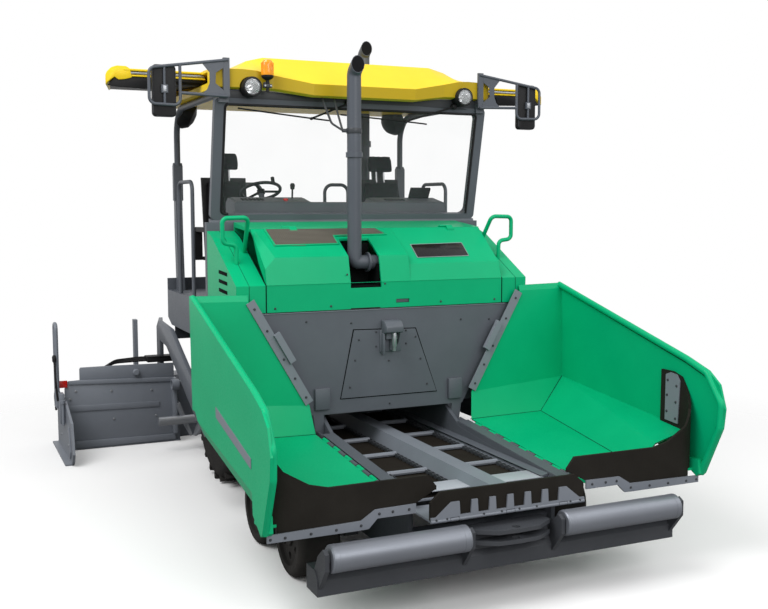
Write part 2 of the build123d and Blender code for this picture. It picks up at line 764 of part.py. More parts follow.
# Fixed body panels beside and behind the engine lid
def make_body_panels():
    t = bonnet_skin
    outline = [(bonnet_front, bonnet_low), (bonnet_front, lid_front_z), shoulder_rear, (270, 2330), (270, bonnet_low)]
    inner_y = lid_half + lid_gap
    shoulder = slab_y(outline, inner_y, body_half)
    hollow = slab_y([(bonnet_front - t, bonnet_low - 1), (bonnet_front - t, lid_front_z - t), (437, 2281 - t),
                     (270 + t, 2330 - t), (270 + t, bonnet_low - 1)], inner_y + t, body_half - t)
    shoulder = shoulder - hollow
    hinge_x, hinge_z_top = lid_pin
    barrels = []
    for y in (-700, 700):
        barrels.append(disc_y(hinge_x, hinge_z_top, lid_barrel, y - 60, y))
        barrels.append(block(hinge_x - 28, hinge_x, y - 60, y, 2350, 2362))
        barrels.append(disc_y(hinge_x, hinge_z_top, 4, y - 60, y + 60))
    deck = slab_y([(lid_hinge_x - lid_gap, 2354), (262, 2400), (262, 2360), (lid_hinge_x - lid_gap, 2330)], -inner_y - 1, inner_y + 1)
    back = block(262, 282, -inner_y - 1, inner_y + 1, bonnet_low, 2380)
    sides = shoulder + other_side(shoulder)
    return sides + deck + back + joined(barrels)


# Outer form of the engine lid: low on the left, raised on the right with a slanted end
def lid_form(raised_y):
    low_profile = [
        (bonnet_front, bonnet_low), (bonnet_front, lid_front_z), (lid_crest_x, lid_low_crest_z),
        (lid_hinge_x, lid_hinge_z), (lid_hinge_x, bonnet_low),
    ]
    raised_profile = [
        (lid_hinge_x, lid_hinge_z), (lid_crest_x, lid_crest_z), (bonnet_front, lid_front_z), (slot_x, 1900),
    ]
    raised = slab_y(raised_profile, -lid_half, raised_y)
    end_top = Vector(lid_crest_x, -lid_half + 85, lid_crest_z)
    end_low = Vector(lid_crest_x, -lid_half, lid_low_crest_z)
    end_rear = Vector(lid_hinge_x, -lid_half + 25, lid_hinge_z)
    end_plane = Plane(origin=end_low, z_dir=(end_top - end_low).cross(end_rear - end_low))
    raised = split(raised, bisect_by=end_plane, keep=Keep.BOTTOM if end_plane.z_dir.Z > 0 else Keep.TOP)
    return slab_y(low_profile, -lid_half, lid_half) + raised


# Engine lid: folded skin with end plates, hinge leaves and the slot for the exhaust pipe
def make_lid():
    t = bonnet_skin
    lid = lid_form(lid_raised_y) - Pos(-t, 0, -t) * lid_form(lid_raised_y - t)
    cheek = slab_y([(bonnet_front - t, bonnet_low + 200), (bonnet_front - t, lid_front_z),
                    (lid_crest_x - t, lid_low_crest_z - t), (760, 2290), (900, 2100)], lid_half - t, lid_half)
    lid = lid + cheek + other_side(cheek)
    pin_x, pin_z = lid_pin
    for y in (-700, 700):
        leaf = slab_y([(pin_x, 2358), (lid_hinge_x, 2352), (lid_hinge_x + 36, 2318), (lid_hinge_x + 36, 2341),
                       (pin_x, 2371)], y + 1, y + 60)
        lid = lid + leaf + disc_y(pin_x, pin_z, lid_barrel, y + 1, y + 60)
        lid = lid - disc_y(pin_x, pin_z, 4 + run_gap, y - 70, y + 70)
    lid = lid - block(slot_x, bonnet_front + 1, slot_y0, slot_y1, 1899, 2500)
    return lid - block(1000, 1200, 53, 168, 1770, 1800)


door_pin = (276.0, 1258.0)
door_barrel = 8.0
door_hinges = (1400.0, 1600.0)


def make_side_door():
    door = block(290, 1040, body_half - 30, body_half, frame_top + 20, bonnet_low - lid_gap)
    door = chamfer(door.edges().filter_by(Axis.Y), 12)
    x, y = door_pin
    for z in door_hinges:
        door = door + Pos(x, y, z + 30) * Cylinder(door_barrel, 58) + block(x, x + 50, body_half, body_half + 6, z + 1, z + 59)
        door = door - Pos(x, y, z) * Cylinder(4 + run_gap, 130)
    return door


def make_door_hinges():
    x, y = door_pin
    parts = []
    for z in door_hinges:
        parts.append(Pos(x, y, z - 30) * Cylinder(door_barrel, 60))
        parts.append(Pos(x, y, z) * Cylinder(4, 118))
        parts.append(block(x - 40, x, body_half, body_half + 6, z - 60, z))
    return joined(parts)


keep("body_panels", make_body_panels())
keep("engine_lid", make_lid())
keep_pair("side_door", make_side_door())


# Exhaust pipe in front and the fume pipe behind the seats
def make_stacks():
    riser_y = 60
    exhaust = tube_path([
        (stack_x, riser_y, engine_top), (stack_x, riser_y, stack_elbow_z), (stack_x, stack_y, stack_elbow_z),
        (stack_x, stack_y, 3520), (stack_x + 50, stack_y + 52, 3700),
    ], stack_radius, 90)
    flange = disc_y(stack_x, stack_elbow_z, stack_radius + 22, slot_y1 - 65, slot_y1 - 50)
    collar = Pos(stack_x, stack_y, 2930) * Cylinder(stack_radius + 10, 40)
    exhaust = exhaust + flange + collar
    fume = tube_path([(fume_x, fume_y, deck_z), (fume_x, fume_y, 3950), (fume_x + 60, fume_y - 40, 4080)],
                     fume_radius, 90)
    fume = fume + Pos(fume_x, fume_y, deck_z + 10) * Cylinder(76, 20) + Pos(fume_x, fume_y, 3150) * Cylinder(74, 60)
    return exhaust, fume


keep("stack_pipes", *make_stacks())


# Driver's platform with steps and rear wall
def make_platform():
    deck = block(deck_rear, deck_front, -body_half, body_half, deck_z - deck_plate, deck_z)
    skirt = slab_y([(deck_front, deck_z - deck_plate), (deck_rear, deck_z - deck_plate), (deck_rear, 1480), (-1100, 1420), (deck_front, 1420)],
                   body_half - plate, body_half)
    cowl = block(deck_front, 262, -body_half, body_half, frame_top + 40, 2400)
    cowl = cowl - block(deck_front - 1, 263, -1180, 1180, frame_top, deck_z - deck_plate)
    sill = slab_y([(deck_front, 2400), (262, 2400), (256, 2418 - seat), (deck_front, 2429)], -screen_half, screen_half)
    deck = deck + skirt + other_side(skirt) + cowl + sill + make_door_hinges() + other_side(make_door_hinges())
    toe = block(deck_rear, deck_rear + plate, -body_half, body_half, deck_z, deck_z + 110)
    return deck + toe


keep("platform", make_platform())


# Console across the platform with the steering column
def make_console():
    desk = slab_y([(150, 2560), (-60, 2600), (-130, 2560), (-130, 2480), (-20, 2440), (60, 2340), (60, deck_z), (150, deck_z)], -980, 980)
    gap_left = block(-200, 120, -300, 300, deck_z + 300, 2700)
    return desk - gap_left


wheel_tilt = 25.0
wheel_place = Pos(-215, -640, 2660) * Rot(0, -wheel_tilt, 0)
keep("console", make_console() + wheel_place * Pos(0, 0, -106.5) * Cylinder(24, 160))
ring = Torus(170, 14)
hub = Pos(0, 0, -8) * Cylinder(34, 36)
spokes = joined(Rot(0, 0, a) * Pos(85, 0, -4) * Box(170, 26, 10) for a in (90, 210, 330))
knob = Pos(150, 70, 34) * Cylinder(16, 50)
keep("steering_wheel", wheel_place * (ring + hub + spokes + knob))


# Seats: frames and cushions at both control stations
seat_x = -560.0
seat_y = 785.0
seat_pan_z = deck_z + 300.0
seat_top_z = 2790.0
back_lean = -0.15


def back_x(z):
    return seat_x - 220 + back_lean * (z - seat_pan_z)


def make_seat(y):
    z = seat_pan_z
    base = block(seat_x - 190, seat_x + 150, y - 190, y + 190, deck_z, deck_z + 60)
    base = base + block(seat_x - 110, seat_x + 110, y - 110, y + 110, deck_z, z)
    pan = block(seat_x - 250, seat_x + 240, y - 240, y + 240, z, z + 30)
    outline = [(back_x(z), z), (back_x(z) - 30, z), (back_x(3000) - 30, 3000), (back_x(3000), 3000)]
    back = slab_y(outline[:2] + [(back_x(seat_top_z) - 30, seat_top_z), (back_x(seat_top_z), seat_top_z)], y - 210, y + 210)
    back = back + slab_y(outline, y - 60, y + 60)
    seat_frame = base + pan + back + block(seat_x - 250, seat_x - 210, y - 310, y + 310, z, z + 30)
    for side in (-1, 1):
        arm_middle = y + side * 275
        seat_frame = seat_frame + block(seat_x - 250, seat_x + 120, arm_middle - 30, arm_middle + 30, z + 260, z + 300)
        seat_frame = seat_frame + block(seat_x - 250, seat_x - 210, arm_middle - 35, arm_middle + 35, z, z + 300)
    return seat_frame


def make_cushions(y):
    base = seat_pan_z + 30 + seat
    cushion = block(seat_x - 195, seat_x + 245, y - 225, y + 225, base, base + 120)
    cushion = fillet(cushion.edges(), 30)
    low = base + 130
    rest = slab_y([(back_x(low) + seat, low), (back_x(seat_top_z) + seat, seat_top_z), (back_x(seat_top_z) + 115, seat_top_z - 20), (back_x(low) + 115, low)],
                  y - 215, y + 215)
    head = slab_y([(back_x(2850) + seat, 2850), (back_x(3030) + seat, 3030), (back_x(3030) + 90, 3030), (back_x(2850) + 90, 2850)], y - 140, y + 140)
    return cushion, rest, head


keep("seat_frames", make_seat(seat_y), make_seat(-seat_y))
keep("seat_cushions", *make_cushions(seat_y), *make_cushions(-seat_y))


# Windscreen frame, rear posts and roof beams
def make_roof_posts():
    lean = Vector(screen_top[0] - screen_low[0], 0, screen_top[1] - screen_low[1])
    place = Plane(origin=(screen_low[0], 0, screen_low[1]), x_dir=(0, 1, 0), z_dir=Vector(0, 1, 0).cross(lean))
    height = lean.length
    frame = place * Pos(0, height / 2) * RectangleRounded(2 * screen_half, height, 40)
    window = place * Pos(0, height / 2) * RectangleRounded(2 * (screen_half - screen_rail), height - 90, 60)
    frame = extrude(frame - window, amount=-screen_depth)
    heads = joined(block(head_back, head_back + 50, s * post_y - 40, s * post_y + 40, 3340, roof_low) for s in (-1, 1))
    frame = frame + heads
    rail_z = roof_low - seat - post_radius
    post = tube_path([(rear_post_x, post_y, post_hinge_z), (rear_post_x, post_y, rail_z),
                      (head_back - seat, post_y, rail_z)], post_radius, post_bend)
    bracket = slab_y([(-1200, 2580), (-1140, 2580), (-1140, 2900), (-1170, 2930), (-1200, 2900)],
                     post_y - 42, post_y + 42)
    foot = slab_y([(-1215, 2620), (-1130, 2620), (-1120, 2300), (-1080, deck_z), (-1180, deck_z), (-1215, 2300)],
                  post_y - 30, post_y + 30)
    post = post + bracket + foot
    return frame, post, other_side(post)


frame_parts = make_roof_posts()
keep("roof_posts", *frame_parts)


def make_glass():
    lean = Vector(screen_top[0] - screen_low[0], 0, screen_top[1] - screen_low[1])
    place = Plane(origin=(screen_low[0], 0, screen_low[1]), x_dir=(0, 1, 0), z_dir=Vector(0, 1, 0).cross(lean))
    height = lean.length
    pane = place * Pos(0, height / 2, -32) * RectangleRounded(2 * (screen_half - screen_rail) - 2 * seat, height - 90 - 2 * seat, 60 - seat)
    return extrude(pane, amount=8)


keep("windscreen_glass", make_glass())


# Roof sections from the middle to the side: y, front x, low z, ridge z, crown z
roof_stations = (
    (450, 622, 3400, 3500, 3735),
    (760, 545, 3446, 3560, 3735),
    (900, 540, 3448, 3590, 3700),
    (1010, 517, 3448, 3600, 3614),
    (roof_half, 470, 3448, 3600, 3608),
)


def roof_face_x(y):
    for inner, outer in zip(roof_stations, roof_stations[1:]):
        if inner[0] <= abs(y) <= outer[0]:
            return inner[1] + (outer[1] - inner[1]) * (abs(y) - inner[0]) / (outer[0] - inner[0])
    return roof_stations[0][1]


def roof_section(y, front, low, ridge, crown):
    points = [
        (380, roof_low), (front - 60, low), (front, low + 10), (front, ridge), (250, crown), (-1150, crown),
        (roof_rear, roof_edge), (roof_rear, roof_low),
    ]
    return Face(Wire.make_polygon([Vector(x, y, z) for x, z in points], close=True))


# Roof shell: bulge in the middle, rounded end blocks, arches for the lamps, side slots for the awnings
def make_roof():
    stations = [(-row[0],) + row[1:] for row in reversed(roof_stations)] + list(roof_stations)
    shell = loft([roof_section(*row) for row in stations], ruled=True)
    void = block(awning_rear - 12, 330, -roof_half - 10, roof_half + 10, awning_z - seat, roof_edge - 20)
    pipe_hole = Pos(fume_x, fume_y, 3600) * Cylinder(fume_radius + 6, 600)
    shell = shell - void - pipe_hole
    for y in (-lamp_y, lamp_y):
        shell = shell - bar((lamp_back, y, lamp_z), (lamp_front + 60, y, lamp_z), lamp_arch)
    return shell


keep("roof_shell", make_roof())


def make_awning():
    inner = roof_half - 30
    outer = roof_half + awning_reach
    panel = block(awning_rear, awning_front, inner, outer - 60, awning_z, awning_z + awning_thick)
    lip = slab_x([(outer - 80, awning_z - 60), (outer, awning_z - 40), (outer, awning_z + 90), (outer - 60, awning_z + 120), (outer - 80, awning_z + 100)],
                 awning_rear, awning_front)
    rods = joined(disc_y(x, awning_z + 60, 14, 780, outer - 70) for x in (0, -900))
    return panel + lip + rods


keep_pair("awning", make_awning())


# Lamps and beacon
def make_lamps():
    lamps = []
    for y in (-lamp_y, lamp_y):
        lamps.append(bar((lamp_back + seat, y, lamp_z), (lamp_front, y, lamp_z), lamp_radius))
    for y in (-1006, 1006):
        lamps.append(bar((roof_rear - 60, y, 3530), (roof_rear - seat, y, 3530), 55))
    beacon_x = 600
    beacon_y = -830
    beacon = Pos(beacon_x, beacon_y, 3640) * Cylinder(48, 110) + Pos(beacon_x, beacon_y, 3570) * Cylinder(30, 50)
    bracket_back = roof_face_x(beacon_y + 20) + seat
    beacon = beacon + block(bracket_back, beacon_x, beacon_y - 20, beacon_y + 20, 3550, 3566)
    return lamps, beacon


keep("roof_lamps", *make_lamps()[0], make_lamps()[1])


# Mirror arm: tube loop, waisted plate and two rails held on the roof's corner, with the mirror below its rod
def make_mirror():
    x = 516
    loop = [(1125, 3663), (1737, 3573), (1737, 3306), (1500, 3300), (1500, 3607)]
    frame = tube_path([(x, y, z) for y, z in loop], 12, 50)
    waist = [
        (1330, 3630), (1160, 3655), (1160, 3600), (1220, 3560), (1225, 3480), (1150, 3420), (1150, 3390),
        (1330, 3392), (1290, 3430), (1270, 3480), (1270, 3560),
    ]
    frame = frame + slab_x(waist, x - 4, x + 4) + bar((x, 1500, 3395), (x, 1125, 3384), 12)
    frame = frame + slab_z([(roof_face_x(1110) + seat, 1110), (roof_face_x(1160) + seat, 1160), (x + 2, 1160),
                            (x + 2, 1110)], 3380, 3680)
    rod = bar((x, 1620, 3303), (x, 1620, 3590), 10)
    head = block(455, 500, 1530, 1705, 3215, 3600)
    head = chamfer(head.edges().filter_by(Axis.X), 24)
    return frame + rod + head + block(490, x + 10, 1595, 1645, 3390, 3450)


mirror_left = make_mirror()
keep("mirrors", mirror_left, other_side(mirror_left))


# Handrails on the shoulders and guard rails on the platform
def make_handrail():
    rail = tube_path([
        (800, 1160, 2080), (805, 1160, 2235), (820, 1272, 2250), (820, 1272, 2440), (835, 1072, 2445),
        (640, 1050, 2165),
    ], 17, 42)
    raised_front = (bonnet_front, lid_front_z + seat)
    raised_rear = (shoulder_rear[0], shoulder_rear[1] + seat)
    return rail - slab_y([(bonnet_front, bonnet_low), raised_front, raised_rear, (shoulder_rear[0], bonnet_low)],
                         lid_half, body_half + 60)


rail = make_handrail()
keep("handrails", rail, other_side(rail))


def make_guard_rails():
    loops = []
    for x0, y0, x1, y1 in ((-300, 1225, -800, 1225), (deck_rear + 60, 330, deck_rear + 60, 580)):
        loop = tube_path([(x0, y0, deck_z), (x0, y0, deck_z + 1000), (x1, y1, deck_z + 1000), (x1, y1, deck_z)], 17, 80)
        loops.append(loop)
        loops.append(other_side(loop))
    return loops


keep("guard_rails", *make_guard_rails())


# Tow arms: curved plates outside the body
def make_tow_arm():
    z = tow_pin_z
    points = [(tow_pin_x + 90, z - 60), (tow_pin_x + 60, z + 90), (tow_pin_x - 40, z + 130), (-1050, 1505), (-1400, 1540),
              (-2550, 1420), (arm_rear, 1300), (arm_rear, 1040), (-2560, 1060), (-2500, 1180), (-1400, 1300), (-1080, 1260), (0, 760), (tow_pin_x - 40, z - 100)]
    arm = slab_y(points, arm_y, arm_y + arm_plate)
    return arm - disc_y(tow_pin_x, z, 40 + run_gap, arm_y - 1, arm_y + arm_plate + 1)


arm_left = make_tow_arm()
keep("tow_arms", arm_left, other_side(arm_left))


# Basic screed with sole plate, housing, guide tube, side posts and walkway
def make_screed():
    rear = screed_front - screed_depth
    housing = slab_y([(screed_front, 16), (screed_front, screed_height), (screed_front - 60, screed_height + 60), (rear + 80, screed_height + 60),
                      (rear, screed_height - 100), (rear, 16)], -screed_half, screed_half)
    sole = block(rear - 20, screed_front, -screed_half, screed_half, 0, 16)
    walk = block(-rear_reach, rear, -screed_half, screed_half, 300, 330)
    brackets = joined(block(-rear_reach + 40, rear, y - 12, y + 12, 180, 300) for y in (-1100, -400, 400, 1100))
    mount = slab_y([(screed_front, 560), (screed_front, 680), (guide_x + 50, 690), (guide_x + 50, 590)], -38, 38)
    tube = disc_y(guide_x, guide_z, guide_radius, -975, 975)
    post_x0 = arm_rear - 90
    post = block(post_x0, arm_rear, arm_y, arm_y + arm_plate, screed_height - 20, 1300)
    tie = block(post_x0 + 10, arm_rear, 1200, arm_y + arm_plate, screed_height - 20, screed_height + 60)
    posts = post + tie
    lug_y = lift_low[1]
    for start in (lug_y - lift_eye_half - 20, lug_y + lift_eye_half + 6):
        lug = slab_y([(lift_low[0] + 60, screed_height + 60), (lift_low[0] + 30, lift_low[2] + 30), (lift_low[0] - 30, lift_low[2] + 30), (lift_low[0] - 60, screed_height + 60)],
                     start, start + 14)
        posts = posts + lug
    return housing + sole + walk + brackets + mount + tube + posts + other_side(posts)


keep("screed_body", make_screed())


# Extension: front wall with stepped top, sole, sleeve and end gate
def make_extension():
    back = screed_front + extension_back_gap
    wall = slab_x([(extension_inner, 16), (extension_outer, 16), (extension_outer, 800), (1980, 800), (1980, 700), (extension_inner + 80, 700), (extension_inner, 640)],
                  extension_front - 16, extension_front)
    box = block(back, extension_front - 16, extension_inner, extension_outer, 16, 420)
    sole = block(back, extension_front, extension_inner, extension_outer, 0, 16)
    step = slab_x([(1120, 700), (1990, 700), (1990, 860), (1740, 860), (1740, 930), (1120, 930)], extension_front - 40, extension_front - 16)
    cover = block(back, extension_front - 16, extension_inner + 90, 1980, 420, 700)
    sleeve = block(guide_x - 48, guide_x + 48, extension_inner + 40, extension_inner + 75, guide_z - 48, guide_z + 60)
    arm = block(extension_front, guide_x - 40, extension_inner + 40, extension_inner + 75, 250, guide_z + 60)
    unit = wall + box + sole + step + cover + sleeve + arm
    unit = unit - disc_y(guide_x, guide_z, guide_radius + run_gap, extension_inner, extension_inner + 100)
    return unit


def make_gate():
    y = extension_outer
    gate = slab_y([(gate_front, 40), (gate_front + 60, 130), (gate_front - 40, 420), (-2200, 560), (gate_rear + 60, 560), (gate_rear, 420), (gate_rear, 0), (gate_front - 60, 0)],
                  y, y + gate_plate)
    skid = block(gate_rear, gate_front - 60, y + gate_plate, y + gate_plate + 60, 0, 14)
    handle_y = y + 72
    handle = tube_path([(-2330, handle_y, 480), (-2330, handle_y, 1330), (-2470, handle_y, 1330), (-2470, handle_y, 480)], 19, 60)
    foot = block(-2490, -2310, y + gate_plate, handle_y + 20, 470, 500)
    return gate + skid + handle + foot


extension = make_extension()
gate = make_gate()
keep_pair("extension", extension)
keep_pair("end_gate", gate)


# Augers: shaft with half-ring blades, and the chain case that carries them
def make_auger():
    shaft = disc_y(auger_x, auger_z, auger_shaft, auger_inner, auger_outer)
    count = int((auger_outer - auger_inner - 60) / (auger_pitch / 2))
    tilt = degrees(atan2(auger_pitch / 2, 3.1416 * auger_radius * 0.7))
    half = Circle(auger_radius - 4) - Circle(auger_shaft - 5)
    half = half & Pos(auger_radius / 2, 0) * Rectangle(auger_radius, 2 * auger_radius + 2)
    blade = extrude(half, amount=12, both=True)
    auger = shaft
    for k in range(count):
        y = auger_inner + 80 + k * auger_pitch / 2
        lean = tilt if k % 2 == 0 else -tilt
        face = 0 if k % 2 == 0 else 180
        auger = auger + Pos(auger_x, y, auger_z) * Rot(90, 0, 0) * Rot(0, 0, face) * Rot(tilt, 0, 0) * blade
    return auger


keep_pair("auger", make_auger())


def make_auger_carrier():
    case = slab_y([(auger_x + 130, auger_z - 130), (auger_x - 130, auger_z - 130), (auger_x - 130, auger_z + 150), (auger_x - 40, 900), (frame_rear, 1100),
                   (frame_rear, 900), (auger_x + 110, 760), (auger_x + 130, auger_z + 150)], -90, 90)
    stub = disc_y(auger_x, auger_z, 70, 90, auger_inner - seat)
    return case + stub + other_side(stub)


keep("auger_carrier", make_auger_carrier())

# Lifting cylinders: barrels on the frame, rods to the screed
def along(start, end, distance):
    a = Vector(*start)
    b = Vector(*end)
    return a + (b - a).normalized() * distance


def make_lift():
    mouth = along(lift_top, lift_low, lift_barrel)
    barrel = bar(along(lift_top, lift_low, 80), mouth, lift_radius)
    barrel = barrel + bar(lift_top, along(lift_top, lift_low, 85), lift_eye_half - 1)
    barrel = barrel + disc_y(lift_top[0], lift_top[2], 44, lift_top[1] - lift_eye_half, lift_top[1] + lift_eye_half)
    bore = bar(along(lift_top, lift_low, 200), along(lift_top, lift_low, lift_barrel + 1), lift_rod + run_gap)
    barrel = barrel - bore - disc_y(lift_top[0], lift_top[2], lift_pin + run_gap, lift_top[1] - 30, lift_top[1] + 30)
    rod = bar(along(lift_top, lift_low, 560), lift_low, lift_rod)
    rod = rod + disc_y(lift_low[0], lift_low[2], 40, lift_low[1] - lift_eye_half, lift_low[1] + lift_eye_half)
    rod = rod - disc_y(lift_low[0], lift_low[2], lift_pin + run_gap, lift_low[1] - 30, lift_low[1] + 30)
    return barrel, rod


barrel, rod = make_lift()
keep("lift_barrels", barrel, other_side(barrel))
keep("lift_rods", rod, other_side(rod))

for name, shapes in nodes.items():
    solids = [solid for shape in shapes for solid in shape.solids()]
    export_step(Compound(children=solids), "parts/" + name + ".step")
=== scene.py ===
import json
import math
import bmesh
import bpy
from mathutils import Matrix, Vector

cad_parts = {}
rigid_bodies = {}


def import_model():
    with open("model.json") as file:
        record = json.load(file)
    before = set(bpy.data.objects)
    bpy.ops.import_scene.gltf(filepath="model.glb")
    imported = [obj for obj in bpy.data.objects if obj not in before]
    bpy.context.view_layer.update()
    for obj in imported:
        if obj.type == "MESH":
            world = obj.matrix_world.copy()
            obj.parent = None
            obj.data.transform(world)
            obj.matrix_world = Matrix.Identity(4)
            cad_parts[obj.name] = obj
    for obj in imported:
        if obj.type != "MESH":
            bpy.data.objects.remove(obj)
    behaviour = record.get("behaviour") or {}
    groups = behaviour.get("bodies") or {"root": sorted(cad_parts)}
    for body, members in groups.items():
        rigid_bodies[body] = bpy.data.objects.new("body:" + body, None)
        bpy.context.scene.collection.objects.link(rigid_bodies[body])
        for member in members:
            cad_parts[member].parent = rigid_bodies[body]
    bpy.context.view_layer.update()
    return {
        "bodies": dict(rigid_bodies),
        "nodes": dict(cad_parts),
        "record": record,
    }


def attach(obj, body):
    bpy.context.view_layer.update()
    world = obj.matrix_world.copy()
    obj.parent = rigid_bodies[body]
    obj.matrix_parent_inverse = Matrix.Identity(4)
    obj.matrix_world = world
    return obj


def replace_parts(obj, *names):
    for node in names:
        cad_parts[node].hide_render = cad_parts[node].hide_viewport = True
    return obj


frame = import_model()
nodes = frame["nodes"]
print("stage: frame loaded,", len(nodes), "nodes")

# Camera at the photograph's place
cameraPlace = {
    "position": (8.368, -3.296, 2.544),
    "direction": (-0.90665, 0.41002, -0.09911),
    "lens": 47.07,
    "sensor": 36,
}


def linked(name, data, place, aim):
    obj = bpy.data.objects.new(name, data)
    obj.location = place
    obj.rotation_mode = "QUATERNION"
    obj.rotation_quaternion = Vector(aim).to_track_quat("-Z", "Y")
    bpy.context.scene.collection.objects.link(obj)
    return obj


cameraData = bpy.data.cameras.new("photoCamera")
cameraData.lens = cameraPlace["lens"]
cameraData.sensor_width = cameraPlace["sensor"]
bpy.context.scene.camera = linked(
    "photoCamera", cameraData, cameraPlace["position"], cameraPlace["direction"])


# A shader socket that can be added, multiplied and passed on
class Wire:
    def __init__(self, tree, socket=None):
        self.tree = tree
        self.socket = socket

    def make(self, kind, settings=None, sockets=None, out=0):
        node = self.tree.nodes.new(kind)
        for name, value in (settings or {}).items():
            setattr(node, name, value)
        for name, value in (sockets or {}).items():
            if isinstance(value, Wire):
                self.tree.links.new(value.socket, node.inputs[name])
            else:
                node.inputs[name].default_value = value
        return Wire(self.tree, node.outputs[out] if node.outputs else None)

    def combine(self, operation, first, second):
        return self.make("ShaderNodeMath", {"operation": operation}, {0: first, 1: second})

    def __add__(self, other):
        return self.combine("ADD", self, other)

    def __mul__(self, other):
        return self.combine("MULTIPLY", self, other)

    def between(self, low, high, first=0.0, last=1.0):
        ends = {"Value": self, "From Min": low, "From Max": high, "To Min": first, "To Max": last}
        return self.make("ShaderNodeMapRange", {"clamp": True}, ends)

    def blend(self, first, second):
        settings = {"data_type": "RGBA", "clamp_factor": True}
        return self.make("ShaderNodeMix", settings, {0: self, 6: first, 7: second}, out=2)


def openMaterial(name):
    material = bpy.data.materials.new(name)
    material.use_nodes = True
    return material, material.node_tree, Wire(material.node_tree)


# What all finishes share: soft patches, fine grain and dust that gathers low down
surfaceNotes = {
    "patchScale": 2.3,
    "grainScale": 90.0,
    "grainStrength": 0.6,
    "dustTop": 0.9,
    "dustColour": (0.23, 0.21, 0.19, 1.0),
    "coatRough": 0.08,
}
# Painted shade: the roof's forward faces are darkened in their colour by this share, for the shade of its own
# edge
faceShadeOf = {"yellowPaint": 0.48}
finishColumns = ("colour", "patch", "rough", "coat", "shine", "metal", "grain", "edge", "dust")
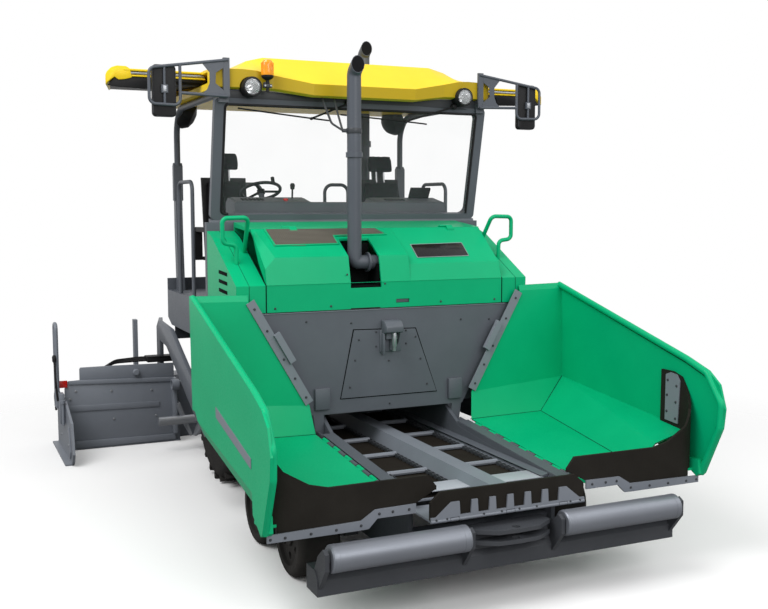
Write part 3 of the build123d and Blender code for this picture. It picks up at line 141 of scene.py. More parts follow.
# The last column names the slot that goes with this finish
finishTable = {
    "greenPaint": ((0.0, 0.395, 0.168), 0.05, 0.36, 0.02, 0.16, 0.0, 0.00008, 0.004, 0.04, "green_paint"),
    "greyPaint": ((0.1, 0.111, 0.13), 0.07, 0.42, 0.04, 0.3, 0.0, 0.0002, 0.004, 0.06, "grey_paint"),
    "darkPaint": ((0.04, 0.044, 0.05), 0.1, 0.4, 0.05, 0.3, 0.0, 0.0002, 0.003, 0.04, "dark_paint"),
    "yellowPaint": ((0.9, 0.63, 0.022), 0.04, 0.34, 0.03, 0.14, 0.0, 0.0001, 0.006, 0.02, "yellow_paint"),
    "awningYellow": ((0.9, 0.63, 0.022), 0.04, 0.34, 0.03, 0.14, 0.0, 0.0001, 0.004, 0.0, "yellow_paint"),
    "bareSteel": ((0.36, 0.375, 0.4), 0.1, 0.38, 0.0, 0.4, 0.7, 0.0003, 0.003, 0.05, "bare_steel"),
    "chromedRod": ((0.62, 0.63, 0.65), 0.03, 0.14, 0.0, 0.5, 1.0, 0.0, 0.0, 0.0, "chromed_rod"),
    "castMetal": ((0.06, 0.064, 0.07), 0.12, 0.6, 0.0, 0.25, 0.2, 0.001, 0.003, 0.1, "cast_metal"),
    "flapRubber": ((0.015, 0.013, 0.0105), 0.15, 0.62, 0.0, 0.1, 0.0, 0.0004, 0.004, 0.02, "flap_rubber"),
    "tyreRubber": ((0.02, 0.0185, 0.0175), 0.15, 0.7, 0.0, 0.15, 0.0, 0.0006, 0.006, 0.1, "tyre_rubber"),
    "blackPlastic": ((0.012, 0.012, 0.013), 0.08, 0.45, 0.0, 0.2, 0.0, 0.0003, 0.003, 0.02, "black_plastic"),
    "greyPlastic": ((0.082, 0.09, 0.102), 0.06, 0.5, 0.0, 0.25, 0.0, 0.0004, 0.006, 0.03, "grey_plastic"),
    "lampPlastic": ((0.62, 0.63, 0.62), 0.03, 0.08, 0.5, 0.5, 0.2, 0.0, 0.003, 0.0, "lamp_plastic"),
    "pipePaint": ((0.076, 0.086, 0.104), 0.06, 0.4, 0.05, 0.35, 0.0, 0.0002, 0.003, 0.0, "dark_paint"),
    "frameGrey": ((0.085, 0.094, 0.11), 0.07, 0.45, 0.0, 0.25, 0.0, 0.0002, 0.004, 0.08, "grey_paint"),
    "paleGrey": ((0.19, 0.208, 0.24), 0.06, 0.38, 0.05, 0.3, 0.0, 0.0002, 0.003, 0.04, "grey_paint"),
    "paleSteel": ((0.215, 0.23, 0.262), 0.05, 0.4, 0.0, 0.4, 0.55, 0.0002, 0.003, 0.03, "bare_steel"),
    "whiteSteel": ((0.42, 0.445, 0.49), 0.05, 0.42, 0.0, 0.3, 0.2, 0.0002, 0.002, 0.03, "grey_paint"),
    "beamPaint": ((0.05, 0.054, 0.062), 0.08, 0.45, 0.03, 0.25, 0.0, 0.0002, 0.004, 0.05, "dark_paint"),
    "bedRubber": ((0.016, 0.013, 0.01), 0.15, 0.7, 0.0, 0.08, 0.0, 0.0004, 0.0, 0.0, "flap_rubber"),
    # Painted shade: seamShade is near-black for the shade in seams, grooves, slots and gaps
    "seamShade": ((0.004, 0.005, 0.005), 0.1, 0.8, 0.0, 0.05, 0.0, 0.0, 0.0, 0.0, "black_plastic"),
    # Painted shade: pipeShade stands for the shade inside the pipes' mouths
    "pipeShade": ((0.003, 0.003, 0.004), 0.1, 0.5, 0.0, 0.1, 0.0, 0.0003, 0.0, 0.0, "black_plastic"),
    "badgeBlack": ((0.008, 0.008, 0.009), 0.05, 0.25, 0.2, 0.3, 0.0, 0.0, 0.001, 0.0, "black_plastic"),
    # Painted shade: grilleShade stands for the shaded space behind the grille
    "grilleShade": ((0.085, 0.078, 0.064), 0.1, 0.8, 0.0, 0.1, 0.0, 0.0004, 0.0, 0.0, "black_plastic"),
    "grilleWire": ((0.22, 0.205, 0.17), 0.1, 0.5, 0.0, 0.3, 0.3, 0.0, 0.0, 0.0, "bare_steel"),
    "amberPlastic": ((0.95, 0.34, 0.008), 0.04, 0.18, 0.4, 0.4, 0.0, 0.0, 0.001, 0.0, "lamp_plastic"),
    "redPlastic": ((0.6, 0.012, 0.008), 0.05, 0.22, 0.3, 0.4, 0.0, 0.0, 0.001, 0.0, "lamp_plastic"),
    "mirrorChrome": ((0.7, 0.71, 0.72), 0.02, 0.06, 0.0, 0.5, 1.0, 0.0, 0.0, 0.0, "chromed_rod"),
    "seatCloth": ((0.014, 0.0135, 0.015), 0.1, 0.85, 0.0, 0.08, 0.0, 0.001, 0.0, 0.01, "seat_cloth"),
}


def makeFinish(name, colour, patch, rough, coat, shine, metal, grain, edge, dust, faceShade=0.0):
    material, tree, start = openMaterial(name)
    shader = tree.nodes["Principled BSDF"]
    place = start.make("ShaderNodeTexCoord", out=3)
    patches = {"Vector": place, "Scale": surfaceNotes["patchScale"], "Detail": 4.0, "Roughness": 0.6}
    grains = {"Vector": place, "Scale": surfaceNotes["grainScale"], "Detail": 3.0, "Roughness": 0.6}
    cloud = start.make("ShaderNodeTexNoise", {}, patches)
    fine = start.make("ShaderNodeTexNoise", {}, grains)
    height = start.make("ShaderNodeSeparateXYZ", {}, {"Vector": place}, out=2)
    light = tuple(min(1.0, c * (1 + patch) + patch * 0.02) for c in colour) + (1.0,)
    deep = tuple(c * (1 - patch) for c in colour) + (1.0,)
    tint = cloud.between(0.3, 0.7).blend(deep, light)
    # Painted shade: faces whose normal points forward blend towards a darker copy of the colour
    if faceShade:
        normal = start.make("ShaderNodeNewGeometry", out=1)
        way = start.make("ShaderNodeSeparateXYZ", {}, {"Vector": normal}, out=0)
        shaded = tuple(c * (1 - faceShade) for c in colour) + (1.0,)
        tint = way.between(0.75, 0.97).blend(tint, shaded)
    low = height.between(surfaceNotes["dustTop"], 0.0) * cloud.between(0.35, 0.75) * dust
    tint = low.blend(tint, surfaceNotes["dustColour"])
    roughness = fine.between(0.3, 0.7, rough * 0.86, rough * 1.16) + low * 0.5
    tree.links.new(tint.socket, shader.inputs["Base Color"])
    tree.links.new(roughness.socket, shader.inputs["Roughness"])
    shader.inputs["Metallic"].default_value = metal
    shader.inputs["Coat Weight"].default_value = coat
    shader.inputs["Specular IOR Level"].default_value = shine
    shader.inputs["Coat Roughness"].default_value = surfaceNotes["coatRough"]
    sockets = {"Strength": surfaceNotes["grainStrength"], "Distance": grain, "Height": fine}
    if edge:
        sockets["Normal"] = start.make("ShaderNodeBevel", {"samples": 3}, {"Radius": edge})
    if grain or edge:
        tree.links.new(start.make("ShaderNodeBump", {}, sockets).socket, shader.inputs["Normal"])
    return material


def makeGlass(name, colour, alpha):
    material, tree, start = openMaterial(name)
    shader = tree.nodes["Principled BSDF"]
    place = start.make("ShaderNodeTexCoord", out=3)
    smear = start.make("ShaderNodeTexNoise", {}, {"Vector": place, "Scale": 3.0, "Detail": 3.0})
    shader.inputs["Base Color"].default_value = colour
    shader.inputs["Roughness"].default_value = 0.04
    shader.inputs["Specular IOR Level"].default_value = 0.5
    cover = smear.between(0.3, 0.7, alpha * 0.7, alpha * 1.3)
    tree.links.new(cover.socket, shader.inputs["Alpha"])
    return material


finishes = {}
for name, row in finishTable.items():
    notes = dict(zip(finishColumns, row))
    finishes[name] = makeFinish(name, faceShade=faceShadeOf.get(name, 0.0), **notes)
finishes["clearGlass"] = makeGlass("clearGlass", (0.55, 0.62, 0.64, 1.0), 0.03)
finishes["lensGlass"] = makeGlass("lensGlass", (0.85, 0.87, 0.88, 1.0), 0.16)
# Some nodes take a tone of their own within their slot; the screed's paleGrey is partly its paint and partly
# painted light, made paler to look fully lit
shadeOf = {
    "push_roller_left": "paleSteel", "push_roller_right": "paleSteel", "mirrors": "pipePaint",
    "stack_pipes": "pipePaint", "push_beam": "beamPaint", "rocker_beams": "beamPaint", "chassis": "frameGrey",
    "apron_comb": "paleGrey", "wing_strip_left": "paleGrey", "wing_strip_right": "paleGrey",
    "conveyor_floor": "paleGrey", "screed_body": "paleGrey", "end_gate_left": "paleGrey",
    "end_gate_right": "paleGrey",
}
for row in frame["record"]["subparts"]:
    mesh = nodes[row["node"]].data
    kind, material = row["material_slot"].split("_")
    mesh.materials.clear()
    mesh.materials.append(finishes[shadeOf.get(row["node"], kind + material.capitalize())])
print("stage: finishes on the frame")

# Lengths are in metres from the CAD source's own datum, which lies originShift behind the frame's origin
originShift = 0.1


def lookFree():
    if bpy.context.object and bpy.context.object.mode != "OBJECT":
        bpy.ops.object.mode_set(mode="OBJECT")
    bpy.ops.object.select_all(action="DESELECT")


def only(obj):
    lookFree()
    obj.select_set(True)
    bpy.context.view_layer.objects.active = obj


def named(name):
    obj = bpy.context.object
    obj.name = name
    obj.data.name = name
    return obj


def openEdit(obj, mode="FACE"):
    only(obj)
    bpy.ops.object.mode_set(mode="EDIT")
    bpy.ops.mesh.select_mode(type=mode)
    bpy.ops.mesh.select_all(action="DESELECT")


def closeEdit():
    bpy.ops.object.mode_set(mode="OBJECT")


def pickAll():
    bpy.ops.mesh.select_all(action="SELECT")


# Picks faces by place and normal
def pickFaces(obj, test):
    mesh = bmesh.from_edit_mesh(obj.data)
    for face in mesh.faces:
        face.select_set(bool(test(face.calc_center_median(), face.normal)))
    mesh.select_flush_mode()
    bmesh.update_edit_mesh(obj.data)


# Rounds the edges that a test on their middle and direction picks
def bevelEdges(obj, test, offset, segments):
    openEdit(obj, "EDGE")
    mesh = bmesh.from_edit_mesh(obj.data)
    for edge in mesh.edges:
        ends = [vertex.co for vertex in edge.verts]
        edge.select_set(bool(test((ends[0] + ends[1]) / 2, (ends[1] - ends[0]).normalized())))
    bmesh.update_edit_mesh(obj.data)
    bpy.ops.mesh.bevel(offset=offset, segments=segments, affect="EDGES")
    closeEdit()


# A box with rounded edges
def block(name, low, high, bevel=0.0, segments=2):
    lookFree()
    bpy.ops.mesh.primitive_cube_add(size=1)
    obj = named(name)
    for vertex in obj.data.vertices:
        vertex.co = [a + (b - a) * (c + 0.5) for a, b, c in zip(low, high, vertex.co)]
    if bevel:
        openEdit(obj, "EDGE")
        pickAll()
        bpy.ops.mesh.bevel(offset=bevel, segments=segments, affect="EDGES")
        closeEdit()
    return obj


# A plate: a ring of corners filled, moved to its outline and extruded
def plate(name, outline, depth, bevel=0.0, segments=2):
    lookFree()
    bpy.ops.mesh.primitive_circle_add(vertices=len(outline), fill_type="NGON")
    obj = named(name)
    for vertex, place in zip(obj.data.vertices, outline):
        vertex.co = place
    openEdit(obj)
    pickAll()
    bpy.ops.mesh.extrude_region_move(TRANSFORM_OT_translate={"value": depth})
    pickAll()
    bpy.ops.mesh.normals_make_consistent(inside=False)
    if bevel:
        bpy.ops.mesh.select_mode(type="EDGE")
        pickAll()
        bpy.ops.mesh.bevel(offset=bevel, segments=segments, affect="EDGES")
    closeEdit()
    return obj


# A plate that faces forward, its outline in (y, z)
def plateX(name, x, outline, depth, bevel=0.0, segments=2):
    return plate(name, [(x, y, z) for y, z in outline], (depth, 0, 0), bevel, segments)


# A plate that faces sideways, its outline in (x, z)
def plateY(name, y, outline, depth, bevel=0.0, segments=2):
    return plate(name, [(x, y, z) for x, z in outline], (0, depth, 0), bevel, segments)


# Welds what meets and turns the faces outward
def tidyMesh(looseToo=False):
    pickAll()
    bpy.ops.mesh.remove_doubles(threshold=0.00002)
    if looseToo:
        pickAll()
        bpy.ops.mesh.delete_loose()
    pickAll()
    bpy.ops.mesh.normals_make_consistent(inside=False)


# A turned piece: its profile is (distance along the axis, radius) and is spun about the axis
def turned(name, profile, centre, axis, steps=24):
    lookFree()
    bpy.ops.mesh.primitive_circle_add(vertices=len(profile), fill_type="NOTHING")
    obj = named(name)
    middle = Vector(centre)
    along = Vector(axis).normalized()
    side = along.orthogonal().normalized()
    for vertex, (distance, radius) in zip(obj.data.vertices, profile):
        vertex.co = middle + along * distance + side * radius
    openEdit(obj, "VERT")
    pickAll()
    bpy.ops.mesh.spin(steps=steps, angle=2 * math.pi, center=middle, axis=along)
    tidyMesh(looseToo=True)
    closeEdit()
    return obj


# Corner points with a neighbour on each side, so that straight runs stay straight
def rounded(points, bend):
    places = [Vector(point) for point in points]
    result = [places[0]]
    for before, corner, after in zip(places, places[1:], places[2:]):
        result.append(corner + (before - corner).normalized() * min(bend, (before - corner).length * 0.45))
        result.append(corner)
        result.append(corner + (after - corner).normalized() * min(bend, (after - corner).length * 0.45))
    result.append(places[-1])
    return result


# A round bar or tube along a smooth line, or along a straight one when fine is 1
def rod(name, points, radius, fine=4, sides=2):
    lookFree()
    bpy.ops.curve.primitive_nurbs_path_add()
    obj = named(name)
    curve = obj.data
    curve.splines.clear()
    spline = curve.splines.new("NURBS" if fine > 1 and len(points) > 2 else "POLY")
    spline.points.add(len(points) - 1)
    for point, place in zip(spline.points, points):
        point.co = (*place, 1.0)
    if spline.type == "NURBS":
        spline.order_u = 3
        spline.use_endpoint_u = True
    curve.resolution_u = fine
    curve.dimensions = "3D"
    curve.bevel_depth = radius
    curve.bevel_resolution = sides
    curve.use_fill_caps = True
    only(obj)
    bpy.ops.object.convert(target="MESH")
    obj = named(name)
    openEdit(obj, "VERT")
    tidyMesh()
    closeEdit()
    return obj


def joinAll(name, parts):
    lookFree()
    for part in parts:
        part.select_set(True)
    bpy.context.view_layer.objects.active = parts[0]
    if len(parts) > 1:
        bpy.ops.object.join()
    return named(name)


# Copies with their own meshes, moved by matrices and joined
def spread(name, source, moves):
    parts = []
    for move in moves:
        copy = source.copy()
        copy.data = source.data.copy()
        copy.data.transform(move)
        if move.determinant() < 0:
            copy.data.flip_normals()
        bpy.context.scene.collection.objects.link(copy)
        parts.append(copy)
    bpy.data.objects.remove(source)
    return joinAll(name, parts)


mirrorY = Matrix.Diagonal((1.0, -1.0, 1.0, 1.0))


def shift(x=0.0, y=0.0, z=0.0):
    return Matrix.Translation((x, y, z))


def facing(place, normal, size=1.0):
    turn = Vector((0, 0, 1)).rotation_difference(Vector(normal)).to_matrix().to_4x4()
    return Matrix.Translation(place) @ turn @ Matrix.Scale(size, 4)


# Angles that share a full turn among a count of copies
def turns(count):
    return [2 * math.pi * k / count for k in range(count)]


# Gives a piece its finish and body, and sets it into the frame
def dress(obj, finish, body="chassis", angle=32):
    obj.data.transform(shift(originShift))
    obj.data.materials.clear()
    obj.data.materials.append(finishes[finish])
    only(obj)
    bpy.ops.object.shade_smooth_by_angle(angle=math.radians(angle))
    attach(obj, body)
    return obj


# The same piece on both sides of the machine
def dressPair(obj, finish, body="chassis", angle=32):
    twin = obj.copy()
    twin.data = obj.data.copy()
    twin.data.transform(mirrorY)
    twin.data.flip_normals()
    twin.name = obj.name + "Right"
    twin.data.name = twin.name
    bpy.context.scene.collection.objects.link(twin)
    obj.name = obj.name + "Left"
    left, right = (body, body) if body in frame["bodies"] else (body + "_left", body + "_right")
    return dress(obj, finish, left, angle), dress(twin, finish, right, angle)


# One bolt of radius 1 that stands on z 0: washer, then a six-sided head with a broken edge
def makeBolt():
    lookFree()
    bpy.ops.mesh.primitive_cylinder_add(vertices=12, radius=1.0, depth=0.2, location=(0, 0, 0.05))
    washer = named("bolt")
    bpy.ops.object.transform_apply(location=True, rotation=True, scale=True)
    bpy.ops.mesh.primitive_cylinder_add(vertices=6, radius=0.82, depth=0.6, location=(0, 0, 0.4))
    head = named("boltHead")
    bpy.ops.object.transform_apply(location=True, rotation=True, scale=True)
    bevelEdges(head, lambda place, way: place.z > 0.69, 0.12, 1)
    return joinAll("bolt", [washer, head])


def boltsAt(name, places, normal, radius, finish, body="chassis", pair=False):
    rows = spread(name, makeBolt(), [facing(place, normal, radius) for place in places])
    return dressPair(rows, finish, body) if pair else dress(rows, finish, body)


# Roof lamps, beacon and rear work lights, in place of their plain solids
roofNotes = {
    "lampPlace": (0.944, 3.462),
    "lampBack": 0.4605,
    "lampFront": 0.598,
    "beacon": (0.6, -0.83),
    "beaconRibs": 20,
    "workLight": (-1.412, 1.006, 3.53),
    "valanceBack": 0.452,
    "valanceFront": 0.47,
}


def makeRoofLamps(notes):
    centre = (notes["lampBack"], *notes["lampPlace"])
    deep = notes["lampFront"] - notes["lampBack"]
    housing = turned("lampHousing", [
        (0.0, 0.0), (0.0, 0.076), (deep - 0.02, 0.0775), (deep - 0.012, 0.074), (deep - 0.012, 0.064),
        (deep - 0.03, 0.06), (0.045, 0.022), (0.04, 0.0)], centre, (1, 0, 0), 32)
    reflector = turned("lampReflector", [
        (0.046, 0.0), (0.046, 0.02), (deep - 0.032, 0.0575), (deep - 0.028, 0.0595), (deep - 0.036, 0.0595),
        (0.042, 0.0205), (0.042, 0.0)], centre, (1, 0, 0), 32)
    bulb = turned("lampBulb", [
        (0.04, 0.0), (0.04, 0.01), (0.075, 0.01), (0.085, 0.006), (0.088, 0.0)], centre, (1, 0, 0), 16)
    lens = turned("lampLens", [
        (deep - 0.028, 0.0), (deep - 0.028, 0.063), (deep - 0.014, 0.0625), (deep - 0.004, 0.04),
        (deep, 0.0)], centre, (1, 0, 0), 32)
    left, _ = dressPair(housing, "blackPlastic")
    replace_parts(left, "roof_lamps")
    dressPair(reflector, "mirrorChrome")
    dressPair(bulb, "lampPlastic")
    dressPair(lens, "lensGlass")


def makeWorkLights(notes):
    body = turned("workLightBody", [
        (0.0, 0.0), (0.0, 0.052), (0.012, 0.056), (0.04, 0.052), (0.062, 0.03), (0.062, 0.0)],
        notes["workLight"], (1, 0, 0), 28)
    lens = turned("workLightLens", [
        (-0.006, 0.0), (-0.004, 0.03), (0.0, 0.046), (0.006, 0.046), (0.006, 0.0)],
        notes["workLight"], (1, 0, 0), 28)
    dressPair(body, "blackPlastic")
    dressPair(lens, "lampPlastic")


def makeBeacon(notes):
    x, y = notes["beacon"]
    foot = turned("beaconFoot", [
        (3.42, 0.0), (3.42, 0.013), (3.512, 0.013), (3.52, 0.03), (3.534, 0.047), (3.548, 0.05),
        (3.552, 0.044), (3.552, 0.0)], (x, y, 0), (0, 0, 1), 32)
    cap = turned("beaconCap", [
        (3.548, 0.0), (3.548, 0.046), (3.556, 0.049), (3.65, 0.043), (3.66, 0.038), (3.664, 0.0)],
        (x, y, 0), (0, 0, 1), 32)
    rib = block("beaconRib", (x + 0.0425, y - 0.002, 3.558), (x + 0.0495, y + 0.002, 3.648), 0.001, 1)
    moves = [shift(x, y) @ Matrix.Rotation(a, 4, "Z") @ shift(-x, -y) for a in turns(notes["beaconRibs"])]
    ribs = spread("beaconRibs", rib, moves)
    dome = turned("beaconDome", [
        (3.66, 0.0), (3.66, 0.034), (3.668, 0.03), (3.674, 0.016), (3.676, 0.0)], (x, y, 0), (0, 0, 1), 28)
    arm = plateX("beaconArm", 0.5432, [
        (y - 0.02, 3.47), (y + 0.02, 3.47), (y + 0.02, 3.5), (y - 0.02, 3.5)], 0.055, 0.003)
    clamp = block("beaconClamp", (x - 0.018, y - 0.034, 3.455), (x + 0.018, y + 0.034, 3.482), 0.004)
    screws = [(x + 0.0175, y + side, 3.468) for side in (-0.024, 0.024)]
    boltsAt("beaconScrews", screws, (1, 0, 0), 0.008, "bareSteel")
    for piece, finish in ((foot, "blackPlastic"), (arm, "darkPaint"), (clamp, "darkPaint")):
        dress(piece, finish)
    for piece in (cap, ribs, dome):
        dress(piece, "amberPlastic")


# Dark apron under the roof's front edge
def makeRoofTrim(notes):
    back, front = notes["valanceBack"], notes["valanceFront"]
    valance = plate("windscreenValance", [
        (back, -1.185, 3.352), (back, 1.185, 3.352), (back, 1.185, 3.4455), (front, 0.93, 3.4455),
        (front, 0.76, 3.441), (front, 0.45, 3.42), (front, -0.45, 3.42), (front, -0.76, 3.441),
        (front, -0.93, 3.4455), (back, -1.185, 3.4455)], (-0.03, 0, 0), 0.002)
    dress(valance, "darkPaint")


makeRoofLamps(roofNotes)
makeWorkLights(roofNotes)
makeBeacon(roofNotes)
makeRoofTrim(roofNotes)
print("stage: roof")

# Windscreen: wipers, rubber seal round the glass, and mirror heads
screenNotes = {
    "low": (0.256, 2.418),
    "high": (0.458, 3.379),
    "glass": ((-1.13, 2.466), (1.13, 2.466), (1.13, 3.33), (-1.13, 3.33)),
    "mirrorHead": ((0.452, 1.527, 3.212), (0.503, 1.708, 3.603)),
    "mirrorRim": 0.014,
    # each wiper: blade's two ends, joint and pivot
    "wipers": (
        ((0.476, -1.037, 3.3), (0.47, -0.257, 3.229), (0.473, -0.42, 3.24), (0.486, -0.098, 3.372)),
        ((0.476, -0.165, 3.28), (0.47, 0.632, 3.229), (0.473, 0.435, 3.246), (0.49, 0.887, 3.384)),
    ),
    "housing": (-1.151, 1.04, 3.368),
}


def makeScreen(notes):
    (x0, z0), (x1, z1) = notes["low"], notes["high"]
    ring = [(x0 + (x1 - x0) * (z - z0) / (z1 - z0) - 0.002, y, z) for y, z in notes["glass"]]
    dress(rod("windscreenSeal", rounded(ring + ring[:2], 0.06)[2:-1], 0.011), "blackPlastic")
    parts = []
    for start, end, joint, pivot in notes["wipers"]:
        middle = tuple((p + q) / 2 for p, q in zip(joint, pivot))
        parts += [
            rod("wiperBlade", [start, joint, end], 0.0065, 6),
            rod("wiperArm", [joint, middle, pivot], 0.008),
            turned("wiperPivot", [(-0.03, 0.0), (-0.03, 0.024), (0.01, 0.024), (0.022, 0.016), (0.022, 0.0)],
                   pivot, (0.98, 0, -0.2), 20),
            turned("wiperJoint", [(-0.008, 0.0), (-0.008, 0.012), (0.012, 0.012), (0.012, 0.0)],
                   joint, (1, 0, 0), 14),
        ]
    dress(joinAll("wipers", parts), "blackPlastic")


def makeMirrorHeads(notes):
    low, high = notes["mirrorHead"]
    rim = notes["mirrorRim"]
    head = block("mirrorHead", low, high)
    bevelEdges(head, lambda place, way: abs(way.x) > 0.9, 0.03, 4)
    openEdit(head)
    pickFaces(head, lambda place, normal: normal.x < -0.9)
    bpy.ops.mesh.inset(thickness=0.012, depth=0.0)
    bpy.ops.mesh.extrude_region_move(TRANSFORM_OT_translate={"value": (0.006, 0, 0)})
    closeEdit()
    bevelEdges(head, lambda place, way: abs(way.x) < 0.2 and place.x > high[0] - 0.001, 0.012, 3)
    dressPair(head, "blackPlastic")
    glass = block("mirrorGlass", (low[0] + 0.0005, low[1] + rim, low[2] + rim),
                  (low[0] + 0.0055, high[1] - rim, high[2] - rim))
    bevelEdges(glass, lambda place, way: abs(way.x) > 0.9, 0.02, 4)
    dressPair(glass, "mirrorChrome")
    dressPair(block("mirrorClampBolt", (0.5, 1.606, 3.396), (0.53, 1.634, 3.444), 0.004), "bareSteel")


# Domed black housings that hang under the roof's rear corners
def makeHousings(notes):
    dome = turned("cabHousing", [
        (-0.07, 0.0), (-0.07, 0.132), (-0.055, 0.14), (-0.01, 0.136), (0.04, 0.1), (0.062, 0.045),
        (0.066, 0.0)], notes["housing"], (0.25, -0.85, -0.42), 32)
    hanger = [(-1.15, 1.075, 3.38), (-1.155, 1.085, 3.44), (-1.16, 1.08, 3.5)]
    arm = rod("cabHousingArm", hanger, 0.016, 5)
    dressPair(dome, "blackPlastic")
    dressPair(arm, "blackPlastic")


makeScreen(screenNotes)
makeMirrorHeads(screenNotes)
makeHousings(screenNotes)
print("stage: windscreen and mirrors")

# Bonnet: wire grille with its rim, seams, badge field, notch plate and screws
bonnetNotes = {
    "crest": (1.05, 2.145),
    "hinge": (0.699, 2.354),
    "lowCrest": (1.05, 2.075),
    "face": 1.0985,
    "grille": (
        (0.706, -0.905), (0.706, 0.04), (0.792, 0.105), (0.803, -0.362), (0.904, -0.362), (0.912, -0.885)),
    "grid": ((0.7, 0.916), (-0.909, 0.109)),
    "wirePitch": 0.016,
    "wireThick": 0.0045,
    "badge": ((0.873, 0.285), (0.863, 0.762), (0.992, 0.762), (0.998, 0.288)),
    # columns: distance from the middle, half the seam's width
    "shoulderSeams": ((1.019, 0.0035), (1.15, 0.0016)),
    "shoulderLine": ((1.0985, 1.7365), (1.0985, 1.9402), (0.437, 2.2812), (0.272, 2.33)),
    "ventLow": 1.8,
    "ventPitch": 0.07,
    "screwsY": (-0.95, -0.5, 0.45, 0.95),
}


def slopeOf(notes, crest="crest"):
    (x0, z0), (x1, z1) = notes["hinge"], notes[crest]
    return (z1 - z0) / (x1 - x0)


def onSlope(notes, x, y, lift=0.0, crest="crest"):
    x0, z0 = notes["hinge"]
    slope = slopeOf(notes, crest)
    return (x - slope * lift, y, z0 + slope * (x - x0) + lift)


def isOutside(place, outline):
    inside = False
    for (xa, ya), (xb, yb) in zip(outline, outline[1:] + outline[:1]):
        if (ya > place.y) != (yb > place.y) and place.x < xa + (xb - xa) * (place.y - ya) / (yb - ya):
            inside = not inside
    return not inside


# The grille's back in painted shade for the space behind it, a grid cut to the outline and turned into wires,
# and its rim
def makeGrille(notes):
    outline = notes["grille"]
    normal = Vector((-slopeOf(notes), 0, 1)).normalized()
    back = plate("grilleBack", [onSlope(notes, x, y, 0.001) for x, y in outline], tuple(normal * 0.002))
    dress(back, "grilleShade", "lid")
    lookFree()
    (lowX, highX), (lowY, highY) = notes["grid"]
    countX, countY = (round((high - low) / notes["wirePitch"]) for low, high in notes["grid"])
    bpy.ops.mesh.primitive_grid_add(x_subdivisions=countX, y_subdivisions=countY, size=1)
    wires = named("grilleWires")
    for vertex in wires.data.vertices:
        shares = (vertex.co.x + 0.5, vertex.co.y + 0.5)
        vertex.co = (lowX + (highX - lowX) * shares[0], lowY + (highY - lowY) * shares[1], 0)
    openEdit(wires)
    pickFaces(wires, lambda place, normal: isOutside(place, outline))
    bpy.ops.mesh.delete(type="FACE")
    closeEdit()
    for vertex in wires.data.vertices:
        vertex.co = onSlope(notes, vertex.co.x, vertex.co.y, 0.0055)
    only(wires)
    frameWork = wires.modifiers.new("wires", "WIREFRAME")
    frameWork.thickness = notes["wireThick"]
    frameWork.use_even_offset = False
    bpy.ops.object.modifier_apply(modifier="wires")
    dress(wires, "grilleWire", "lid", 60)
    ring = [onSlope(notes, x, y, 0.004) for x, y in outline + outline[:1]]
    dress(rod("grilleRim", rounded(ring, 0.006), 0.0075, 2, 1), "greenPaint", "lid")


def makeBonnetTrim(notes):
    face = notes["face"]
    badge = notes["badge"]
    field = [onSlope(notes, x, y, 0.0, "lowCrest") for x, y in badge]
    dress(plate("badgePlate", field, (0.003, 0, 0.0038), 0.0012), "badgeBlack", "lid")
    ring = [onSlope(notes, x, y, 0.003, "lowCrest") for x, y in badge + badge[:1]]
    dress(rod("badgeRim", rounded(ring, 0.008), 0.003, 2, 1), "bareSteel", "lid")
    slot = plateX("notchPlate", 1.087, [(0.05, 1.772), (0.171, 1.772), (0.171, 1.803), (0.05, 1.803)],
                  -0.006, 0.001)
    dress(slot, "greyPaint", "lid")
    # Painted shade: a dark strip for the shadow in the recess along the bonnet's lower edge
    shade = block("bonnetFootSlot", (1.0975, -0.335, 1.7355), (1.0995, -0.085, 1.7425), 0.0005, 1)
    dress(shade, "blackPlastic", "lid")
    crease = [(face, y, 1.9405) for y in (-1.013, 0.0, 1.013)]
    dress(rod("bonnetCreaseLow", crease, 0.002, 1, 1), "greenPaint", "lid")
    foot = block("bonnetFoot", (1.06, -1.01, 1.7305), (1.0975, 1.01, 1.7385), 0.002)
    dress(foot, "blackPlastic", "lid")


# Seams between lid and shoulders and cooling slots in the shoulders' sides, both painted shade, and screws
def makeShoulders(notes):
    lines = []
    for y, deep in notes["shoulderSeams"]:
        path = rounded([(x, y, z) for x, z in notes["shoulderLine"]], 0.004)
        lines.append(rod("shoulderSeam", path, deep, 2, 1))
    dressPair(joinAll("shoulderSeams", lines), "seamShade")
    vents = []
    for k in range(4):
        z = notes["ventLow"] + notes["ventPitch"] * k
        outline = [(0.62, z), (0.86, z - 0.01), (0.86, z + 0.018), (0.62, z + 0.028)]
        vents.append(plateY("shoulderVent", 1.2495, outline, 0.0025, 0.001))
    dressPair(joinAll("shoulderVents", vents), "seamShade")
    face = notes["face"]
    screws = [(face, y, 1.765) for y in notes["screwsY"]]
    slotScrews = [(face, -0.365, 2.005), (face, -0.045, 1.925)]
    boltsAt("bonnetScrews", screws, (1, 0, 0), 0.009, "darkPaint", "lid")
    boltsAt("slotScrews", slotScrews, (1, 0, 0), 0.008, "darkPaint", "lid")


# Exhaust: painted shade inside the slot and in the pipes' mouths, flange bolts, and the stays that hold the
# pipe to the roof
pipeNotes = {
    "stack": (0.95, -0.242),
    "fume": (-1.15, 0.738),
    "deck": 1.74,
    # columns: name, line, radius, x where the mouth is cut
    "lines": (
        ("exhaustPipe", ((0.95, 0.06, 1.9305), (0.95, 0.06, 2.09), (0.95, -0.242, 2.09),
                         (0.95, -0.242, 3.562), (1.114, -0.242, 3.676)), 0.056, 1.03),
        ("fumePipe", ((-1.15, 0.738, 1.74), (-1.15, 0.738, 4.03), (-0.986, 0.738, 4.144)), 0.06, -1.072),
    ),
    "bend": 0.075,
    "mouthShare": 0.9,
    "clampZ": 3.115,
}


